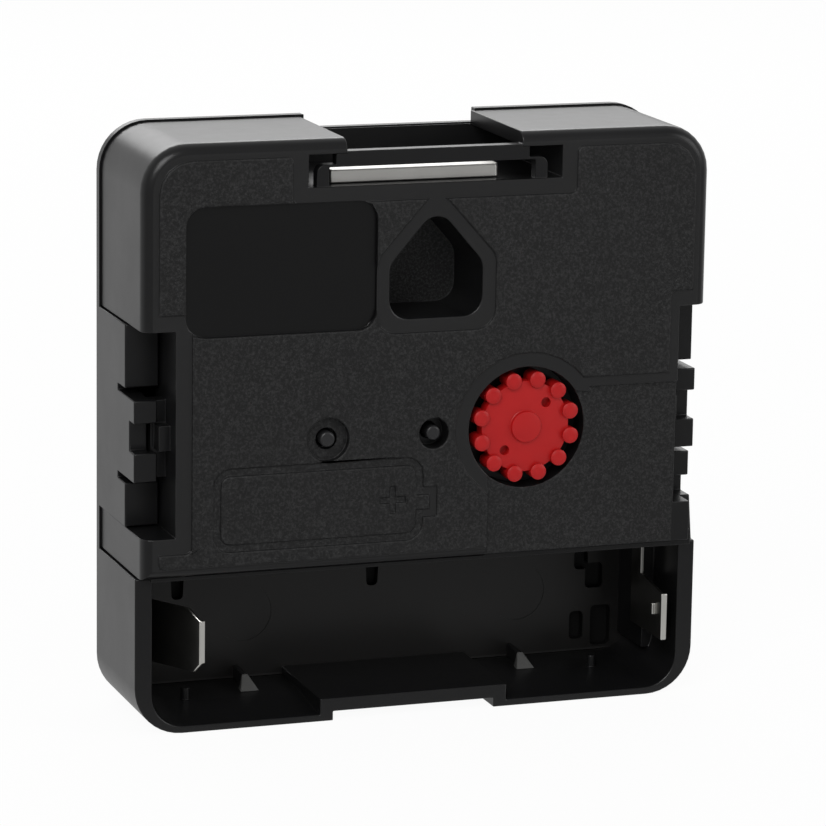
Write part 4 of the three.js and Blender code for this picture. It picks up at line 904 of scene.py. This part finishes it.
def buildCoil(sizes):
    height = sizes["top"] - sizes["bottom"] - 2 * sizes["wire"]
    recipe, shape = spiralRecipe(
        "coilTurns",
        turns=height / (2 * sizes["wire"]),
        radius=sizes["radius"] - sizes["wire"],
        height=height,
        thickness=sizes["wire"],
        corners=sizes["wireCorners"],
        stepsPerTurn=sizes["stepsPerTurn"])
    grown = recipe.grow("coilTurns", shape, finishes["copper_wire"])
    outer, inner = sizes["sleeve"]
    work = bmesh.new()
    bottom, top = sizes["bottom"] - rearY, sizes["top"] - rearY
    profile = [(inner, bottom), (outer, bottom), (outer, top), (inner, top)]
    revolve(work, profile, (0, 0), sizes["sleeveSteps"], closed=True)
    place = Vector((coilAxis[0], coilAxis[1] + rearY, 0)) * mm
    work.transform(Matrix.Translation(place) @ quarterTurn)
    bmesh.ops.recalc_face_normals(work, faces=work.faces)
    lift = Matrix.Translation(place + Vector((0, 0, sizes["bottom"] + sizes["wire"])) * mm)
    mesh = joined("coilWinding", grown, lift, work)
    seat(addObject("coilWinding", mesh, finishes["copper_wire"]), "case", "copper_wire", "coil_winding")


buildCoil(coilPiece)
print("coil wound")


# Floor, backdrop and light
studio = {
    "floorSize": 6.0,  # metres
    "floorDrop": 0.02,  # mm
    "speck": 40.0,  # mm, width of a patch in the paper's tone
    "shadow": 0.05,  # share of the lamps' shadow that shows on the floor
    "world": 0.42,  # strength of the world where it only lights
    "brightSide": 0.67,  # what the object mirrors of the room behind it, where 1 is white
    "dimSide": 0.36,  # and of the room behind the camera
    "floorFade": (-30.0, 25.0),  # depths in mm between which the floor goes from dim to bright
    "skyFade": 0.35,  # and the same for the world, as the Y of a direction
    "aim": (0, 0, 0.028),
    # Lamps: place and size in metres, power in watts
    "lamps": {
        "keyLight": ((-0.28, -0.42, 0.42), (0.3, 0.3), 1.7),
        "fillLight": ((0.45, -0.35, 0.22), (0.3, 0.3), 0.6),
        "backLight": ((0.1, 0.5, 0.3), (0.5, 0.2), 0.9),
    },
}
rayKinds = ("Is Camera Ray", "Is Glossy Ray", "Is Transmission Ray")


def stageLight(name, place, size, power):
    lamp = bpy.data.lights.new(name, "AREA")
    lamp.shape = "RECTANGLE"
    lamp.size, lamp.size_y = size
    lamp.energy = power
    holder = bpy.data.objects.new(name, lamp)
    holder.location = place
    holder.rotation_mode = "QUATERNION"
    holder.rotation_quaternion = (Vector(studio["aim"]) - Vector(place)).to_track_quat("-Z", "Y")
    scene.collection.objects.link(holder)


def buildStudio():
    half = studio["floorSize"] / 2
    corners = [(-half, -half, 0), (half, -half, 0), (half, half, 0), (-half, half, 0)]
    mesh = bpy.data.meshes.new("floor")
    mesh.from_pydata(corners, [], [(0, 1, 2, 3)])
    paper = Finish("floorPaper", Roughness=0.9)
    tree = paper.tree
    speck = paper.noise(studio["speck"])
    paper.feed(Base_Color=paper.mix(speck, (0.95, 0.95, 0.95, 1), (0.99, 0.99, 0.99, 1)))
    rays = tree.nodes.new("ShaderNodeLightPath")
    seen, glossy, passed = (Wire(tree, rays.outputs[name]) for name in rayKinds)
    depth = paper.sides()[1]
    dimDepth, brightDepth = studio["floorFade"]
    bright = paper.node("MapRange", 0, {"interpolation_type": "SMOOTHSTEP"}, {
        "Value": depth,
        "From Min": dimDepth,
        "From Max": brightDepth,
        "To Min": studio["dimSide"],
        "To Max": studio["brightSide"],
    })
    diffuse = Wire(tree, paper.shader.outputs[0])
    white = paper.node("Emission", 0, None, {"Color": (1, 1, 1, 1), "Strength": 1.0})
    mirror = paper.node("Emission", 0, None, {"Color": (1, 1, 1, 1), "Strength": bright})
    shadowed = paper.node("MixShader", 0, None, {0: 1 - studio["shadow"], 1: diffuse, 2: white})
    lit = paper.node("MixShader", 0, None, {0: seen, 1: diffuse, 2: shadowed})
    reflected = paper.node("MixShader", 0, None, {0: glossy, 1: lit, 2: mirror})
    final = paper.node("MixShader", 0, None, {0: passed, 1: reflected, 2: white})
    tree.links.new(final.socket, paper.out.inputs[0])
    floor = addObject("floor", mesh, paper.material)
    floor.location.z = -studio["floorDrop"] * mm
    buildWorld()
    for name, (place, size, power) in studio["lamps"].items():
        stageLight(name, place, size, power)


# White where the camera sees it, and in reflections brighter behind the object than behind the camera
def buildWorld():
    world = bpy.data.worlds.new("whiteTent")
    world.use_nodes = True
    scene.world = world
    tree = world.node_tree
    path = tree.nodes.new("ShaderNodeLightPath")
    seen, glossy, passed = (Wire(tree, path.outputs[name]) for name in rayKinds)
    way = tree.nodes.new("ShaderNodeSeparateXYZ")
    tree.links.new(tree.nodes.new("ShaderNodeTexCoord").outputs["Generated"], way.inputs[0])
    ease = tree.nodes.new("ShaderNodeMapRange")
    ease.interpolation_type = "SMOOTHSTEP"
    spans = {
        "From Min": -studio["skyFade"],
        "From Max": studio["skyFade"],
        "To Min": studio["dimSide"],
        "To Max": studio["brightSide"],
    }
    for key, value in spans.items():
        ease.inputs[key].default_value = value
    tree.links.new(way.outputs["Y"], ease.inputs["Value"])
    mirror = Wire(tree, ease.outputs[0])
    white = seen.maths("MAXIMUM", seen, passed)
    strength = white + (1 - white) * (glossy * mirror + (1 - glossy) * studio["world"])
    back = next(n for n in tree.nodes if n.type == "BACKGROUND")
    back.inputs["Color"].default_value = (1, 1, 1, 1)
    tree.links.new(strength.socket, back.inputs["Strength"])


buildStudio()
print("studio set")
